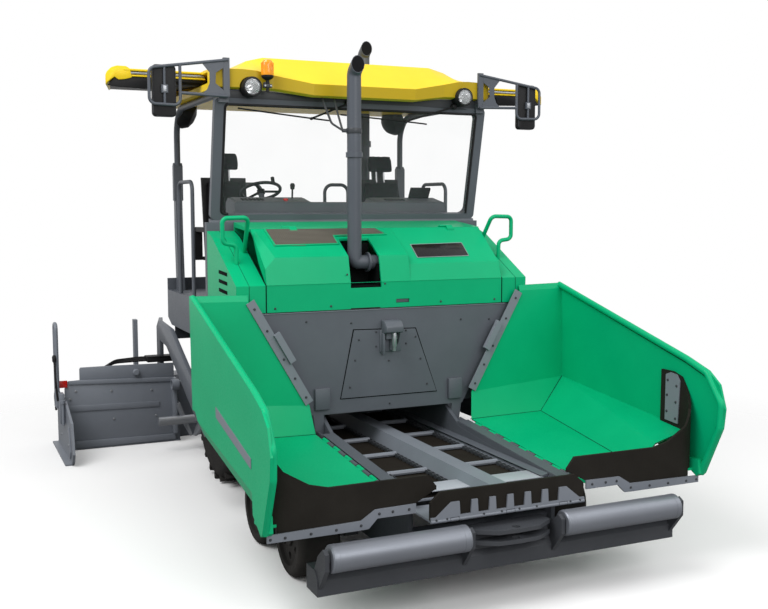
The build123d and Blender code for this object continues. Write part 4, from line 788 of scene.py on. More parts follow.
def makeSlotInside():
    # columns: name, low corner, high corner
    walls = (
        ("slotWell", (0.838, -0.329, 1.905), (0.85, -0.081, 2.235)),
        ("slotFloor", (0.838, -0.329, 1.9002), (1.085, -0.081, 1.912)),
        ("slotSide", (0.838, -0.333, 1.9002), (1.06, -0.327, 2.08)),
        ("slotSideLeft", (0.838, -0.083, 1.9002), (1.06, -0.0765, 2.08)),
    )
    # Painted shade: near-black walls for the shade in the slot's recess
    dress(joinAll("slotInside", [block(*wall) for wall in walls]), "seamShade")


def makePipes(notes):
    x, y = notes["stack"]
    bolts = [(x + 0.066 * math.cos(a), -0.126, 2.09 + 0.066 * math.sin(a)) for a in turns(8)]
    boltsAt("elbowBolts", bolts, (0, 1, 0), 0.008, "bareSteel")
    pipes = []
    for name, line, radius, cut in notes["lines"]:
        pipe = rod(name, rounded(line, notes["bend"]), radius, 6, 6)
        openEdit(pipe)
        pickAll()
        bpy.ops.mesh.bisect(plane_co=(cut, 0, 0), plane_no=(1, 0, 0), use_fill=True, clear_outer=True)
        closeEdit()
        pipes.append(pipe)
        bend, tip = Vector(line[-2]), Vector(line[-1])
        lean = (tip - bend).normalized()
        centre = bend + lean * ((cut - bend.x) / lean.x)
        wide = notes["mouthShare"] * radius
        ring = [(centre.y + wide * math.cos(a), centre.z + wide / lean.x * math.sin(a)) for a in turns(40)]
        # Painted shade: a near-black disc in the pipe's hollow
        dress(plateX(name + "Mouth", cut + 0.0002, ring, 0.0016), "pipeShade")
    fx, fy = notes["fume"]
    # columns: name, (start, end) along the axis, bore, radius, place, axis
    collars = (
        ("exhaustCollar", (-0.02, 0.02), 0.0555, 0.066, (x, y, 2.93), (0, 0, 1)),
        ("exhaustFlange", (0, 0.015), 0.0555, 0.078, (x, -0.14, 2.09), (0, 1, 0)),
        ("fumeCollar", (-0.03, 0.03), 0.0595, 0.074, (fx, fy, 3.15), (0, 0, 1)),
        ("fumeFoot", (0.0, 0.02), 0.0595, 0.076, (fx, fy, notes["deck"]), (0, 0, 1)),
    )
    for name, (low, high), bore, radius, place, axis in collars:
        profile = [(low, bore), (low, radius), (high, radius), (high, bore)]
        pipes.append(turned(name, profile, place, axis, 32))
    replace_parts(dress(joinAll("stackPipes", pipes), "pipePaint", angle=40), "stack_pipes")


def makePipeStays(notes):
    x, y = notes["stack"]
    z = notes["clampZ"]
    band = turned("exhaustClamp", [
        (-0.02, 0.0565), (-0.02, 0.0605), (-0.014, 0.0625), (0.014, 0.0625), (0.02, 0.0605),
        (0.02, 0.0565)], (x, y, z), (0, 0, 1), 32)
    tab = block("exhaustClampTab", (x - 0.015, y - 0.1, z - 0.014), (x + 0.015, y - 0.058, z + 0.014), 0.004)
    lower = [(x, y - 0.095, z), (0.8, y - 0.13, 3.18), (0.56, y - 0.12, 3.4)]
    upper = [(x - 0.01, y - 0.095, z + 0.006), (0.78, y - 0.06, 3.23), (0.545, y - 0.01, 3.402)]
    stays = [rod("exhaustStay", rounded(line, 0.05), 0.009) for line in (lower, upper)]
    dress(joinAll("exhaustStays", [band, tab] + stays), "darkPaint")


makeGrille(bonnetNotes)
makeBonnetTrim(bonnetNotes)
makeShoulders(bonnetNotes)
makeSlotInside()
makePipes(pipeNotes)
makePipeStays(pipeNotes)
print("stage: bonnet and pipes")

# Front wall: hatch line in painted shade, bolts, latch with its handle, brackets
wallNotes = {
    "front": 1.09,
    "hatchThick": 0.006,
    "hatch": ((-0.419, 1.037), (0.415, 1.037), (0.223, 1.556), (-0.308, 1.568)),
    "hatchGap": 0.0075,
    "bolts": (
        (-0.7, 1.652), (-0.33, 1.625), (0.64, 1.61), (0.905, 1.6), (-0.268, 1.49), (-0.12, 1.545),
        (-0.12, 1.43), (0.14, 1.545), (0.14, 1.44), (0.225, 1.49), (-0.345, 1.12), (0.33, 1.1),
        (-0.3, 1.33), (0.27, 1.31), (-0.01, 1.31), (0.0, 0.965),
    ),
}


def grown(outline, by):
    cy, cz = (sum(point[k] for point in outline) / len(outline) for k in (0, 1))
    return [(y + math.copysign(by, y - cy), z + math.copysign(by, z - cz)) for y, z in outline]


def makeHatch(notes):
    x = notes["front"]
    line = plateX("hatchLine", x + 0.0002, grown(notes["hatch"], notes["hatchGap"]), 0.0016)
    dress(line, "seamShade")
    bolts = []
    for y, z in notes["bolts"]:
        offHatch = abs(y) > 0.42 or z > 1.6 or z < 1.0
        bolts.append((x if offHatch else x + notes["hatchThick"], y, z))
    boltsAt("wallBolts", bolts, (1, 0, 0), 0.0085, "darkPaint")


def makeWallBlocks(notes):
    x = notes["front"]
    dressPair(block("wallBlock", (x, 0.52, 0.965), (x + 0.03, 0.64, 1.13), 0.004), "greyPaint")
    line = [(x, -0.905, 1.42), (x + 0.045, -0.905, 1.4), (x + 0.045, -0.77, 1.18), (x, -0.77, 1.165)]
    grip = rod("wallGrip", rounded(line, 0.03), 0.011)
    lip = block("wallTopLip", (x - 0.01, -1.06, 1.7205), (x + 0.004, 1.06, 1.7295), 0.002)
    dress(grip, "darkPaint")
    dress(lip, "paleGrey")


def makeLatch(notes):
    x = notes["front"]
    hood = plate("latchHood", [
        (x, -0.075, 1.52), (x + 0.095, -0.07, 1.545), (x + 0.095, -0.07, 1.59), (x + 0.06, -0.072, 1.632),
        (x, -0.075, 1.64)], (0, 0.15, 0), 0.008)
    cheek = block("latchCheek", (x + 0.006, -0.078, 1.37), (x + 0.05, -0.06, 1.535), 0.004)
    pull = turned("latchPull", [
        (0, 0.0), (0, 0.017), (0.006, 0.02), (0.11, 0.02), (0.118, 0.015), (0.15, 0.013), (0.15, 0.0)],
        (x + 0.06, 0.012, 1.545), (0, 0, -1), 20)
    line = [(x + 0.07, 0.05, 1.55), (x + 0.05, 0.052, 1.5), (x + 0.022, 0.052, 1.45)]
    strut = rod("latchStrut", line, 0.012)
    foot = block("latchFoot", (x + 0.006, -0.092, 1.385), (x + 0.016, 0.092, 1.56), 0.003)
    dress(joinAll("latchCase", [hood, cheek, foot]), "greyPaint")
    dress(pull, "bareSteel")
    dress(strut, "darkPaint")


makeHatch(wallNotes)
makeLatch(wallNotes)
makeWallBlocks(wallNotes)
print("stage: front wall")

# Hopper wings: seam lines at the folds and rim groove in painted shade, side stripe, bolts on the steel
# parts, hinge covers
wingNotes = {
    "noseX": 3.066,
    "taper": 0.015,
    "outerY": 1.632,
    "innerWallY": 1.614,
    "hinge": ((1.236, 0.653, 0.8), (2.7, 0.653, 0.69)),
    "coverEnds": (1.24, 2.655),
    "coverInner": 0.536,
    "coverGap": 0.0195,
    "floorRise": 0.041,
    "rim": ((2.862, 0.69), (2.998, 1.012), (3.008, 1.176), (2.874, 1.35), (2.68, 1.418), (1.15, 1.832)),
    "stripe": ((1.847, 1.213), (2.686, 1.057), (2.683, 0.995), (1.855, 1.142)),
    "stripBolts": (
        (0.68, 0.682), (0.79, 0.682), (0.88, 0.68), (1.0, 0.622), (1.16, 0.617), (1.32, 0.615),
        (1.48, 0.613), (1.57, 0.613)),
    "sealBolts": (0.06, 0.25, 0.44, 0.72, 0.93),
    "plateBolts": (
        (2.525, 1.27), (2.62, 1.24), (2.52, 1.16), (2.615, 1.12), (2.52, 1.04), (2.615, 1.0)),
    "plateMiddle": 2.44,
    "plateLift": 0.0284,
}


def wingWallY(notes, x, side="innerWallY"):
    return notes[side] - notes["taper"] * (notes["noseX"] - x)


def hingeZ(notes, x):
    (x0, _, z0), (x1, _, z1) = notes["hinge"]
    return z0 + (z1 - z0) / (x1 - x0) * (x - x0)


def wingFloor(notes, x, y):
    return (x, y, hingeZ(notes, x) + notes["floorRise"] * (y - notes["hinge"][0][1]))


def wingBack(y, z, lift=0.0):
    return (1.16 + 0.00849 * (y - 0.705) - 0.0356 * (z - 1.0175) + lift, y, z)


def makeWingTrim(notes):
    rearOuter = wingFloor(notes, 1.262, 1.314)
    seams = (
        (wingFloor(notes, 1.214, 0.668), rearOuter),
        (rearOuter, wingFloor(notes, 2.7, 1.174)),
        (rearOuter, wingBack(wingWallY(notes, 1.165), 1.087)),
    )
    lines = [rod("foldSeam", ends, 0.0028, 1, 1) for ends in seams]
    dressPair(joinAll("foldSeams", lines), "seamShade", "wing")
    rim = [(x, wingWallY(notes, x) - 0.001, z) for x, z in notes["rim"]]
    dressPair(rod("rimGroove", rounded(rim, 0.06), 0.0045, 6, 1), "seamShade", "wing")
    stripe = [(x, wingWallY(notes, x, "outerY") - 0.001, z) for x, z in notes["stripe"]]
    dressPair(plate("sideStripe", stripe, (0, 0.0045, 0)), "paleGrey", "wing")
    strip = [(2.858, y, z) for y, z in notes["stripBolts"]]
    boltsAt("stripBolts", strip, (1, 0, 0), 0.009, "darkPaint", "wing", True)
    seal = [wingBack(0.7075 + 0.45 * share, 1.0385 + 0.788 * share, 0.0103) for share in notes["sealBolts"]]
    boltsAt("sealBolts", seal, (1, 0, 0), 0.01, "darkPaint", "wing", True)
    y = wingWallY(notes, notes["plateMiddle"]) - notes["plateLift"]
    flap = [(x, y, z) for x, z in notes["plateBolts"]]
    boltsAt("flapPlateBolts", flap, (0, -1, 0), 0.01, "darkPaint", "wing", True)


# Plain covers over the hinge lugs between conveyor frame and wings
def makeHingeCovers(notes):
    inner, outer = notes["coverInner"], notes["hinge"][0][1] - notes["coverGap"]
    (xa, za), (xb, zb) = ((x, hingeZ(notes, x) + 0.003) for x in notes["coverEnds"])
    top = plate("hingeCover", [
        (xa, inner, za), (xb, inner, zb), (xb, outer, zb), (xa, outer, za)], (0, 0, 0.004), 0.001, 1)
    side = [(xa, za), (xb, zb), (xb, zb - 0.045), (xa, za - 0.06)]
    drop = plateY("hingeCoverDrop", inner, side, -0.004, 0.001, 1)
    dressPair(joinAll("hingeCovers", [top, drop]), "frameGrey")


makeWingTrim(wingNotes)
makeHingeCovers(wingNotes)
print("stage: wings")

# Conveyors: dark floor, chains of side plates and rollers, round slats, nose plate, outer guards
conveyorNotes = {
    "floor": 0.64,
    "rear": -1.27,
    "front": 2.56,
    "slatPitch": 0.51,
    "slatStart": -1.05,
    "slatRadius": 0.019,
    "chainY": (0.14, 0.44),
    "linkPitch": 0.064,
    "nose": ((2.372, -0.6), (2.372, 0.6), (2.56, 0.6), (2.56, -0.6)),
}


def makeConveyors(notes):
    low, rear, front = notes["floor"], notes["rear"], notes["front"]
    bed = block("conveyorBed", (rear, 0.1075, low + 0.0004), (front, 0.4665, low + 0.003), 0.0008, 1)
    dressPair(bed, "bedRubber")
    # one chain link: two plates and a roller
    x0 = rear + 0.03
    side = plateY("chainPlate", -0.012, [(x0 + x, low + z) for x, z in (
        (0, 0.01), (0.012, 0.003), (0.04, 0.003), (0.052, 0.01), (0.052, 0.026), (0.04, 0.032),
        (0.012, 0.032), (0, 0.026))], 0.005)
    twin = spread("chainPlateTwin", side, [shift(), shift(y=0.019)])
    roller = turned("chainRoller", [(-0.014, 0.0), (-0.014, 0.011), (0.014, 0.011), (0.014, 0.0)],
                    (x0 + 0.052, 0, low + 0.018), (0, 1, 0), 8)
    link = joinAll("chainLink", [twin, roller])
    count = int((front - x0 - 0.06) / notes["linkPitch"])
    moves = [shift(k * notes["linkPitch"], y) for k in range(count) for y in notes["chainY"]]
    left, _ = dressPair(spread("conveyorChains", link, moves), "darkPaint")
    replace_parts(left, "conveyor_chains")
    inner, outer = notes["chainY"]
    ends = [(0, inner - 0.004, low + 0.024), (0, outer + 0.004, low + 0.024)]
    slat = rod("slat", ends, notes["slatRadius"], 1)
    number = int((front - notes["slatStart"]) / notes["slatPitch"])
    moves = [shift(notes["slatStart"] + k * notes["slatPitch"]) for k in range(number)]
    dressPair(spread("conveyorSlats", slat, moves), "paleGrey")
    nose = plate("conveyorNose", [(x, y, low + 0.034) for x, y in notes["nose"]], (0, 0, 0.007), 0.002)
    dress(nose, "whiteSteel")
    # raised outer guard
    edge = plateX("guardRail", rear, [
        (0.528, low + 0.0285), (0.505, low + 0.0285), (0.47, low + 0.048), (0.528, low + 0.062)],
        front - rear, 0.001, 1)
    dressPair(edge, "greyPaint")


makeConveyors(conveyorNotes)
print("stage: conveyors")

# Push rollers: end caps and bolts; apron: bolts on its comb
frontNotes = {
    "rollerAxis": (3.0, 0.5),
    "rollerRadius": 0.083,
    "rollerInner": 0.372,
    "rollerOuter": 1.25,
    "boltCircle": 0.064,
    "combBolts": (-0.53, -0.455, -0.195, -0.065, 0.065, 0.195, 0.455, 0.53),
}


def makeFront(notes):
    x, z = notes["rollerAxis"]
    radius, circle = notes["rollerRadius"], notes["boltCircle"]
    for end, way in (("Outer", 1), ("Inner", -1)):
        name, y = "rollerCap" + end, notes["roller" + end]
        cap = turned(name, [
            (-0.03, radius - 0.001), (-0.03, radius + 0.001), (0.0, radius + 0.001), (0.006, radius - 0.006),
            (0.006, 0.046), (0.012, 0.042), (0.012, 0.0), (-0.01, 0.0)], (x, y, z), (0, way, 0), 40)
        places = [(x + circle * math.cos(a), y + way * 0.006, z + circle * math.sin(a)) for a in turns(8)]
        bolts = spread(name + "Bolts", makeBolt(), [facing(place, (0, way, 0), 0.0085) for place in places])
        dressPair(cap, "paleSteel", "roller")
        dressPair(bolts, "darkPaint", "roller")
    comb = [(2.932, y, 0.6125) for y in notes["combBolts"]]
    boltsAt("combBolts", comb, (1, 0, 0), 0.008, "darkPaint", "apron")


makeFront(frontNotes)
print("stage: front beam")

# Seats: padded cushions by cloth pressure, headrest rods
seatNotes = {
    "voxel": 0.012,
    "pressure": 4.0,
    "cap": 0.022,
    "frames": 20,
    # columns: name, low corner, high corner, lean
    "pads": (
        ("seatPad", (-0.744, 0.578, 2.08), (-0.33, 0.992, 2.176), 0.0),
        ("seatBack", (-0.794, 0.586, 2.216), (-0.704, 0.984, 2.772), 0.15),
        ("seatHead", (-0.892, 0.66, 2.864), (-0.828, 0.91, 3.014), 0.15),
    ),
    "headBars": (0.745, 0.825),
}


def puff(obj, notes):
    only(obj)
    remesh = obj.modifiers.new("even", "REMESH")
    remesh.mode = "VOXEL"
    remesh.voxel_size = notes["voxel"]
    bpy.ops.object.modifier_apply(modifier="even")
    still = [vertex.co.copy() for vertex in obj.data.vertices]
    cloth = obj.modifiers.new("swell", "CLOTH")
    cloth.settings.use_pressure = True
    cloth.settings.uniform_pressure_force = notes["pressure"]
    cloth.settings.effector_weights.gravity = 0.0
    cloth.point_cache.frame_end = notes["frames"]
    scene = bpy.context.scene
    for frameNumber in range(1, notes["frames"] + 1):
        scene.frame_set(frameNumber)
    moved = obj.evaluated_get(bpy.context.evaluated_depsgraph_get())
    places = [vertex.co.copy() for vertex in moved.data.vertices]
    obj.modifiers.remove(cloth)
    for vertex, before, after in zip(obj.data.vertices, still, places):
        step = after - before
        if step.length > notes["cap"]:
            step = step.normalized() * notes["cap"]
        vertex.co = before + step
    scene.frame_set(1)
    soft = obj.modifiers.new("soft", "SUBSURF")
    soft.levels = 1
    soft.render_levels = 1
    only(obj)
    bpy.ops.object.modifier_apply(modifier="soft")


# A pad from a box: corners rounded, crowned in the middle and swollen by pressure
def makePad(name, low, high, lean, notes):
    pad = block(name, low, high)
    openEdit(pad)
    pickAll()
    bpy.ops.mesh.subdivide(number_cuts=3)
    closeEdit()
    middle = [(a + b) / 2 for a, b in zip(low, high)]
    half = [(b - a) / 2 for a, b in zip(low, high)]
    for vertex in pad.data.vertices:
        u, v, w = [(c - m) / h for c, m, h in zip(vertex.co, middle, half)]
        if lean:
            vertex.co.y = middle[1] + half[1] * v * (1.0 - 0.1 * max(0.0, w) ** 2 - 0.05 * w * w)
            vertex.co.x += 0.012 * abs(v) ** 2 - lean * (vertex.co.z - low[2])
        else:
            vertex.co.z += 0.016 * abs(v) ** 2 * (0.5 + 0.5 * w)
            vertex.co.z += 0.012 * max(0.0, -u) ** 2
    puff(pad, notes)
    return pad


def makeSeats(notes):
    for name, low, high, lean in notes["pads"]:
        pair = dressPair(makePad(name, low, high, lean, notes), "seatCloth", angle=60)
        if name == "seatPad":
            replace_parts(pair[0], "seat_cushions")
    bars = [rod("headBar", [(-0.846, y, 2.76), (-0.858, y, 2.88)], 0.008, 1) for y in notes["headBars"]]
    dressPair(joinAll("headBars", bars), "chromedRod")


makeSeats(seatNotes)
print("stage: seats")

# Control desk: stepped top, button fields, stop button, screen and lever
deskNotes = {
    "spans": ((-0.96, -0.32), (0.32, 0.96)),
    "top": (
        (-0.118, 2.5665), (-0.052, 2.6015), (0.146, 2.5615), (0.146, 2.5665), (-0.052, 2.6065),
        (-0.122, 2.5705)),
    "keys": 6,
    "keyRows": 2,
    "keyStarts": (-0.9, 0.42),
    "keySize": 0.022,
    "keyGap": 0.034,
    "tilt": math.radians(11),
}


def makeDesk(notes):
    tops = [plateY("deskTop", y0, notes["top"], y1 - y0, 0.0015) for y0, y1 in notes["spans"]]
    dress(joinAll("deskTops", tops), "greyPlastic")
    size = notes["keySize"]
    moves = []
    for start in notes["keyStarts"]:
        for row in range(notes["keyRows"]):
            for k in range(notes["keys"]):
                place = shift(0.035 + row * 0.036, start + k * notes["keyGap"], 2.589 - row * 0.0075)
                moves.append(place @ Matrix.Rotation(notes["tilt"], 4, "Y"))
    dress(spread("deskKeys", block("key", (0, 0, 0), (size, size, 0.01), 0.003), moves), "blackPlastic")
    stop = turned("stopButton", [
        (0, 0.0), (0, 0.016), (0.012, 0.016), (0.012, 0.022), (0.02, 0.022), (0.026, 0.014), (0.027, 0.0)],
        (0.1, -0.52, 2.57), (0.05, 0, 1))
    dress(stop, "redPlastic")
    screen = plate("deskScreen", [
        (-0.045, 0.7, 2.605), (-0.045, 0.9, 2.605), (0.01, 0.9, 2.7), (0.01, 0.7, 2.7)],
        (0.022, 0, -0.012), 0.006)
    dress(screen, "blackPlastic")
    grip = turned("leverGrip", [
        (0, 0.0), (0, 0.008), (0.08, 0.008), (0.085, 0.018), (0.12, 0.022), (0.135, 0.014), (0.137, 0.0)],
        (-0.02, -0.42, 2.592), (0.1, 0, 1), 20)
    dress(grip, "blackPlastic")


makeDesk(deskNotes)
print("stage: desk")

# Awnings, in place of plain slabs: thin yellow panel, scoop at the outer end, black skirt, grey slide tube
awningNotes = {
    "rear": -1.07,
    "front": 0.15,
    "inner": 1.209,
    "outer": 1.999,
    "low": 3.5,
    "thick": 0.104,
    "rearShare": 0.72,
    "rearDepth": 0.32,
}


# Narrows and thins a piece towards the rear, so that its outer edge and its underside run in
def runIn(obj, notes):
    top = notes["low"] + notes["thick"]
    for vertex in obj.data.vertices:
        share = (notes["front"] - vertex.co.x) / (notes["front"] - notes["rear"])
        share = max(0.0, min(1.0, share))
        width = 1.0 - (1.0 - notes["rearShare"]) * share
        vertex.co.y = notes["inner"] + (vertex.co.y - notes["inner"]) * width
        if vertex.co.z < top:
            vertex.co.z = top - (top - vertex.co.z) * (1.0 - (1.0 - notes["rearDepth"]) * share)
    return obj


def makeAwnings(notes):
    x0, x1 = notes["rear"], notes["front"]
    inner, outer, z = notes["inner"], notes["outer"], notes["low"]
    panel = plateY("awningPanel", inner, [
        (x0, z + 0.084), (x0, z + 0.104), (x1, z + 0.104), (x1 + 0.003, z + 0.098), (x1, z + 0.088),
        (x1 - 0.03, z + 0.084), (x1 - 0.034, z + 0.058), (x1 - 0.004, z + 0.056), (x1, z + 0.05),
        (x1 - 0.004, z + 0.044), (x1 - 0.05, z + 0.044), (x1 - 0.056, z + 0.084)],
        outer - 0.14 - inner, 0.0015, 1)
    scoop = plateX("awningScoop", x0, [
        (outer - 0.205, z + 0.036), (outer - 0.192, z + 0.104), (outer - 0.16, z + 0.1225),
        (outer - 0.09, z + 0.1235), (outer - 0.045, z + 0.108), (outer - 0.01, z + 0.072), (outer, z + 0.046),
        (outer, z - 0.03), (outer - 0.012, z - 0.012), (outer - 0.07, z + 0.036), (outer - 0.1, z + 0.014),
        (outer - 0.15, z + 0.02)], x1 - x0)
    bevelEdges(scoop, lambda place, way: abs(way.x) > 0.9 or abs(place.x - x1) < 0.001, 0.007, 2)
    left, right = dressPair(runIn(joinAll("awningShell", [panel, scoop]), notes), "awningYellow", "awning")
    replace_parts(left, "awning_left")
    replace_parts(right, "awning_right")
    skirt = plateX("awningSkirt", x1 - 0.06, [
        (inner + 0.015, z + 0.043), (outer - 0.086, z + 0.043), (outer - 0.07, z + 0.03),
        (outer - 0.012, z - 0.03), (outer - 0.08, z - 0.04), (inner + 0.33, z - 0.052),
        (inner + 0.31, z + 0.02), (inner + 0.015, z + 0.02)], 0.045, 0.004)
    belly = block(
        "awningBelly", (x0 + 0.006, inner + 0.012, z), (x1 - 0.062, outer - 0.004, z + 0.034), 0.003)
    rear = block(
        "awningRearBar", (x0 + 0.01, inner + 0.01, z + 0.04), (x0 + 0.04, outer - 0.2, z + 0.083), 0.004)
    dressPair(runIn(joinAll("awningSkirts", [skirt, rear, belly]), notes), "blackPlastic", "awning")
    slide = [(x1 - 0.014, inner + 0.006, z + 0.072), (x1 - 0.014, outer - 0.196, z + 0.072)]
    dressPair(rod("awningTube", slide, 0.0115, 1, 3), "bareSteel", "awning")


makeAwnings(awningNotes)
print("stage: awnings")

# Hub caps of the small wheels; the big wheels are whole in the solids
wheelNotes = {"small": (("wheel_front", 1.9), ("wheel_middle", 1.15)), "hub": (1.118, 0.28)}


def makeWheels(notes):
    for body, x in notes["small"]:
        cap = turned(body.replace("_", "") + "HubCap", [
            (-0.04, 0.0), (-0.04, 0.058), (0.0, 0.058), (0.012, 0.05), (0.02, 0.03), (0.021, 0.0)],
            (x, *notes["hub"]), (0, 1, 0), 28)
        dressPair(cap, "greyPaint", body)


makeWheels(wheelNotes)
print("stage: wheels")

# Tow arms and screed sides, in place of their plain solids; end-gate fittings, hoses and reflectors
screedNotes = {
    "armY": (1.272, 1.312),
    "armIn": 1.03,
    "armBend": -1.42,
    "armRear": -2.7,
    "arm": (
        (0.44, 0.69), (0.41, 0.84), (0.31, 0.88), (-0.9, 1.4), (-1.42, 1.43), (-2.0, 1.39),
        (-2.56, 1.33), (-2.7, 1.22), (-2.7, 0.7), (-2.52, 0.7), (-2.48, 1.12), (-2.0, 1.21),
        (-1.42, 1.25), (-1.08, 1.22), (0.0, 0.76), (0.31, 0.65),
    ),
    "faceX": -2.38,
    # columns: name, distance behind the face, outline in (y, z), depth, rounding
    "plates": (
        ("screedFace", 0.0, ((0.955, 0.016), (2.09, 0.016), (2.09, 0.655), (2.055, 0.73), (1.94, 0.735),
                             (0.955, 0.7)), -0.016, 0.002),
        ("screedUpper", 0.017, ((0.955, 0.69), (1.935, 0.73), (1.935, 0.845), (1.925, 0.862), (1.66, 0.862),
                                (0.955, 0.852)), -0.016, 0.002),
        ("screedLip", 0.0, ((0.955, 0.655), (2.05, 0.695), (2.05, 0.735), (0.955, 0.7)), 0.014, 0.004),
        ("screedBand", 0.0, ((1.12, 0.392), (2.088, 0.41), (2.088, 0.475), (1.12, 0.452)), 0.01, 0.004),
        ("screedToe", 0.0, ((0.955, 0.02), (2.088, 0.02), (2.088, 0.095), (0.955, 0.085)), 0.012, 0.004),
    ),
    "faceBolts": (
        (1.2, 0.58), (1.62, 0.6), (1.98, 0.62), (2.04, 0.54), (1.6, 0.3), (1.16, 0.3)),
    "reflector": ((2.062, 0.668), (2.16, 0.668), (2.16, 0.742), (2.062, 0.742)),
    "gateY": 2.114,
    "gateBolts": ((-1.95, 0.3), (-1.95, 0.16), (-2.5, 0.3), (-2.5, 0.16), (-2.72, 0.46)),
    "gateRib": (
        (-1.79, 0.06), (-1.76, 0.13), (-1.85, 0.36), (-1.88, 0.36), (-1.8, 0.12), (-1.83, 0.06)),
    "hose": 0.012,
}


# Arms whose rear half runs inward, each with its pad at the front end
def makeTowArms(notes):
    y0, y1 = notes["armY"]
    arm = plateY("towArm", y0, notes["arm"], y1 - y0, 0.004)
    for vertex in arm.data.vertices:
        share = (notes["armBend"] - vertex.co.x) / (notes["armBend"] - notes["armRear"])
        vertex.co.y -= (y0 - notes["armIn"]) * max(0.0, min(1.0, share * 1.15))
    pad = turned("towPad", [(0.0, 0.0), (0.0, 0.075), (0.01, 0.078), (0.014, 0.07), (0.014, 0.0)],
                 (0.35, y1 - 0.002, 0.75), (0, 1, 0), 28)
    arms = spread("towArms", joinAll("towArm", [arm, pad]), [Matrix.Identity(4), mirrorY])
    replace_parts(dress(arms, "greyPaint", "screed"), "tow_arms")


def makeScreedSides(notes):
    x = notes["faceX"]
    parts = []
    for name, behind, outline, depth, bevel in notes["plates"]:
        parts.append(plateX(name, x - behind, outline, depth, bevel))
    parts += [
        block("screedSole", (-2.556, 0.9, 0.0), (x, 2.09, 0.016), 0.002),
        block("screedBox", (-2.556, 0.9, 0.016), (x - 0.018, 2.088, 0.42), 0.004),
        block("screedCover", (-2.556, 0.99, 0.421), (x - 0.018, 1.98, 0.7), 0.006),
        turned("screedSleeve", [(-0.02, 0.042), (-0.02, 0.058), (0.055, 0.058), (0.055, 0.042)],
               (-2.25, 0.96, 0.64), (0, 1, 0), 28),
        block("screedPost", (-2.396, 0.945, 0.1), (-2.292, 0.985, 0.7), 0.006),
    ]
    # The screed sides' paleGrey is partly their paint and partly painted light, made paler to look fully lit
    left, right = dressPair(joinAll("screedSide", parts), "paleGrey", "extension")
    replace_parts(left, "extension_left")
    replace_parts(right, "extension_right")
    bolts = [(x, y, z) for y, z in notes["faceBolts"]]
    boltsAt("screedBolts", bolts, (1, 0, 0), 0.013, "bareSteel", "extension", True)
    knob = turned("screedKnob", [
        (0, 0.0), (0, 0.03), (0.012, 0.036), (0.04, 0.036), (0.052, 0.026), (0.052, 0.0)],
        (x - 0.017, 1.36, 0.78), (1, 0, 0))
    dressPair(knob, "paleGrey", "extension")
    dressPair(plateX("sideReflector", x + 0.002, notes["reflector"], 0.014, 0.003), "redPlastic", "extension")


# Hoses and cable box on the extensions
def makeHoses(notes):
    lines = []
    for k in range(3):
        back, lift = 0.03 * k, 0.012 * k
        lines.append(rod("hose", rounded([
            (-2.47 - back, 1.0, 0.88 + lift), (-2.48 - back, 1.3, 0.885 + lift),
            (-2.47, 1.56, 0.88 + lift), (-2.44, 1.7, 0.83), (-2.43, 1.72, 0.74)], 0.08), notes["hose"]))
    case = block("cableBox", (-2.54, 0.96, 0.865), (-2.42, 1.23, 0.925), 0.01)
    lid = block("cableBoxLid", (-2.548, 0.952, 0.918), (-2.412, 1.238, 0.93), 0.004)
    dressPair(joinAll("hoses", lines + [case, lid]), "blackPlastic", "extension")


# End gate: lever stand, screw, hose, bolts and rib
def makeGateParts(notes):
    y = notes["gateY"]
    stand = block("gateStand", (-2.3, y, 0.33), (-2.18, y + 0.05, 0.64), 0.008)
    grip = rod("gateLever", rounded([
        (-2.24, y + 0.06, 0.56), (-2.24, y + 0.075, 0.76), (-2.3, y + 0.075, 0.96)], 0.05), 0.011)
    knob = turned("gateLeverKnob", [
        (0, 0.0), (0, 0.012), (0.015, 0.02), (0.06, 0.021), (0.075, 0.014), (0.077, 0.0)],
        (-2.3, y + 0.075, 0.945), (-0.28, 0, 0.96), 20)
    screw = turned("gateScrew", [
        (0, 0.0), (0, 0.014), (0.22, 0.014), (0.22, 0.024), (0.25, 0.024), (0.25, 0.0)],
        (-2.13, y + 0.024, 0.33), (0, 0, 1), 18)
    hose = rod("gateHose", rounded([
        (-2.3, y + 0.03, 0.6), (-2.42, y + 0.052, 0.7), (-2.56, y + 0.052, 0.56),
        (-2.6, y + 0.04, 0.4)], 0.06), notes["hose"])
    dressPair(joinAll("gateFittings", [stand, screw]), "paleGrey", "extension")
    dressPair(joinAll("gateLevers", [grip, knob, hose]), "blackPlastic", "extension")
    bolts = [(x, y, z) for x, z in notes["gateBolts"]]
    boltsAt("gateBolts", bolts, (0, 1, 0), 0.013, "bareSteel", "extension", True)
    dressPair(plateY("gateRib", y, notes["gateRib"], 0.012, 0.003), "paleGrey", "extension")


makeTowArms(screedNotes)
makeScreedSides(screedNotes)
makeHoses(screedNotes)
makeGateParts(screedNotes)
print("stage: screed sides")

# Floor, backdrop and lamps
studio = {
    "floorHalf": 16.0,
    "floorCentre": (0.6, 0.0, 0.0),
    "floorSeen": 0.98,
    "floorBounce": 0.3,
    "maskStart": 2.4,
    "maskEnd": 7.0,
    "ambient": 0.56,
    "glossy": 0.42,
    # columns: name, place, aim, size, power
    "lamps": (
        ("keyLamp", (3.0, -7.0, 10.0), (1.0, 0.0, 1.0), 7.0, 930.0),
        ("fillLamp", (6.0, 7.0, 8.0), (1.0, 0.0, 1.0), 7.0, 230.0),
        ("frontLamp", (11.0, 0.5, 6.5), (1.0, 0.0, 1.3), 6.0, 400.0),
    ),
}


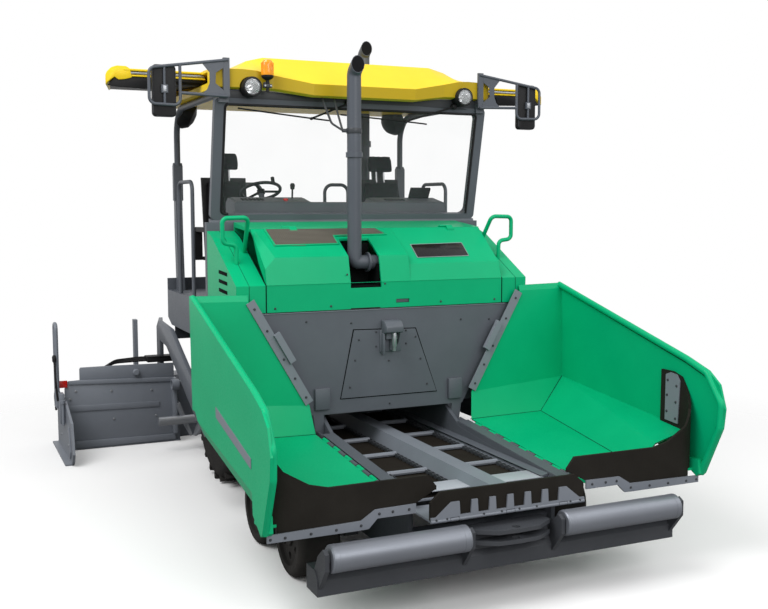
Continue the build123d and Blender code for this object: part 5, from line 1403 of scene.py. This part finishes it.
# The camera sees a white floor that fades into the white behind it; the machine is lit by a darker one
def makeFloor(notes):
    bpy.ops.object.select_all(action="DESELECT")
    bpy.ops.mesh.primitive_plane_add(size=2 * notes["floorHalf"], location=(0, 0, -0.001))
    floor = bpy.context.object
    floor.name = "studioFloor"
    material, tree, start = openMaterial("studioFloor")
    tree.nodes.clear()
    seen, bounce = notes["floorSeen"], notes["floorBounce"]
    shown = start.make("ShaderNodeBsdfDiffuse", {}, {"Color": (seen, seen, seen, 1.0)})
    hidden = start.make("ShaderNodeBsdfDiffuse", {}, {"Color": (bounce, bounce, bounce, 1.0)})
    clear = start.make("ShaderNodeBsdfTransparent")
    camera = start.make("ShaderNodeLightPath")
    ends = {0: start.make("ShaderNodeTexCoord", out=3), 1: notes["floorCentre"]}
    away = start.make("ShaderNodeVectorMath", {"operation": "DISTANCE"}, ends, out=1)
    fade = away.between(notes["maskStart"], notes["maskEnd"])
    visible = start.make("ShaderNodeMixShader", {}, {0: fade, 1: shown, 2: clear})
    both = start.make("ShaderNodeMixShader", {}, {0: camera, 1: hidden, 2: visible})
    start.make("ShaderNodeOutputMaterial", {}, {"Surface": both})
    floor.data.materials.append(material)


def makeWorld(notes):
    world = bpy.data.worlds.new("studioWorld")
    bpy.context.scene.world = world
    world.use_nodes = True
    tree = world.node_tree
    tree.nodes.clear()
    start = Wire(tree)
    path = tree.nodes.new("ShaderNodeLightPath")
    seen = Wire(tree, path.outputs["Is Camera Ray"]) + Wire(tree, path.outputs["Is Transmission Ray"])
    shine = Wire(tree, path.outputs["Is Glossy Ray"])
    level = start.combine("MINIMUM", seen + shine * notes["glossy"], 1.0)
    strength = level * (1.0 - notes["ambient"]) + notes["ambient"]
    sky = start.make("ShaderNodeBackground", {}, {"Color": (1, 1, 1, 1), "Strength": strength})
    start.make("ShaderNodeOutputWorld", {}, {"Surface": sky})


def makeLamps(notes):
    for name, place, aim, size, power in notes["lamps"]:
        data = bpy.data.lights.new(name, "AREA")
        data.size = size
        data.energy = power
        linked(name, data, place, Vector(aim) - Vector(place))


makeFloor(studio)
makeWorld(studio)
makeLamps(studio)
bpy.context.scene.view_settings.view_transform = "Standard"
print("stage: studio ready")
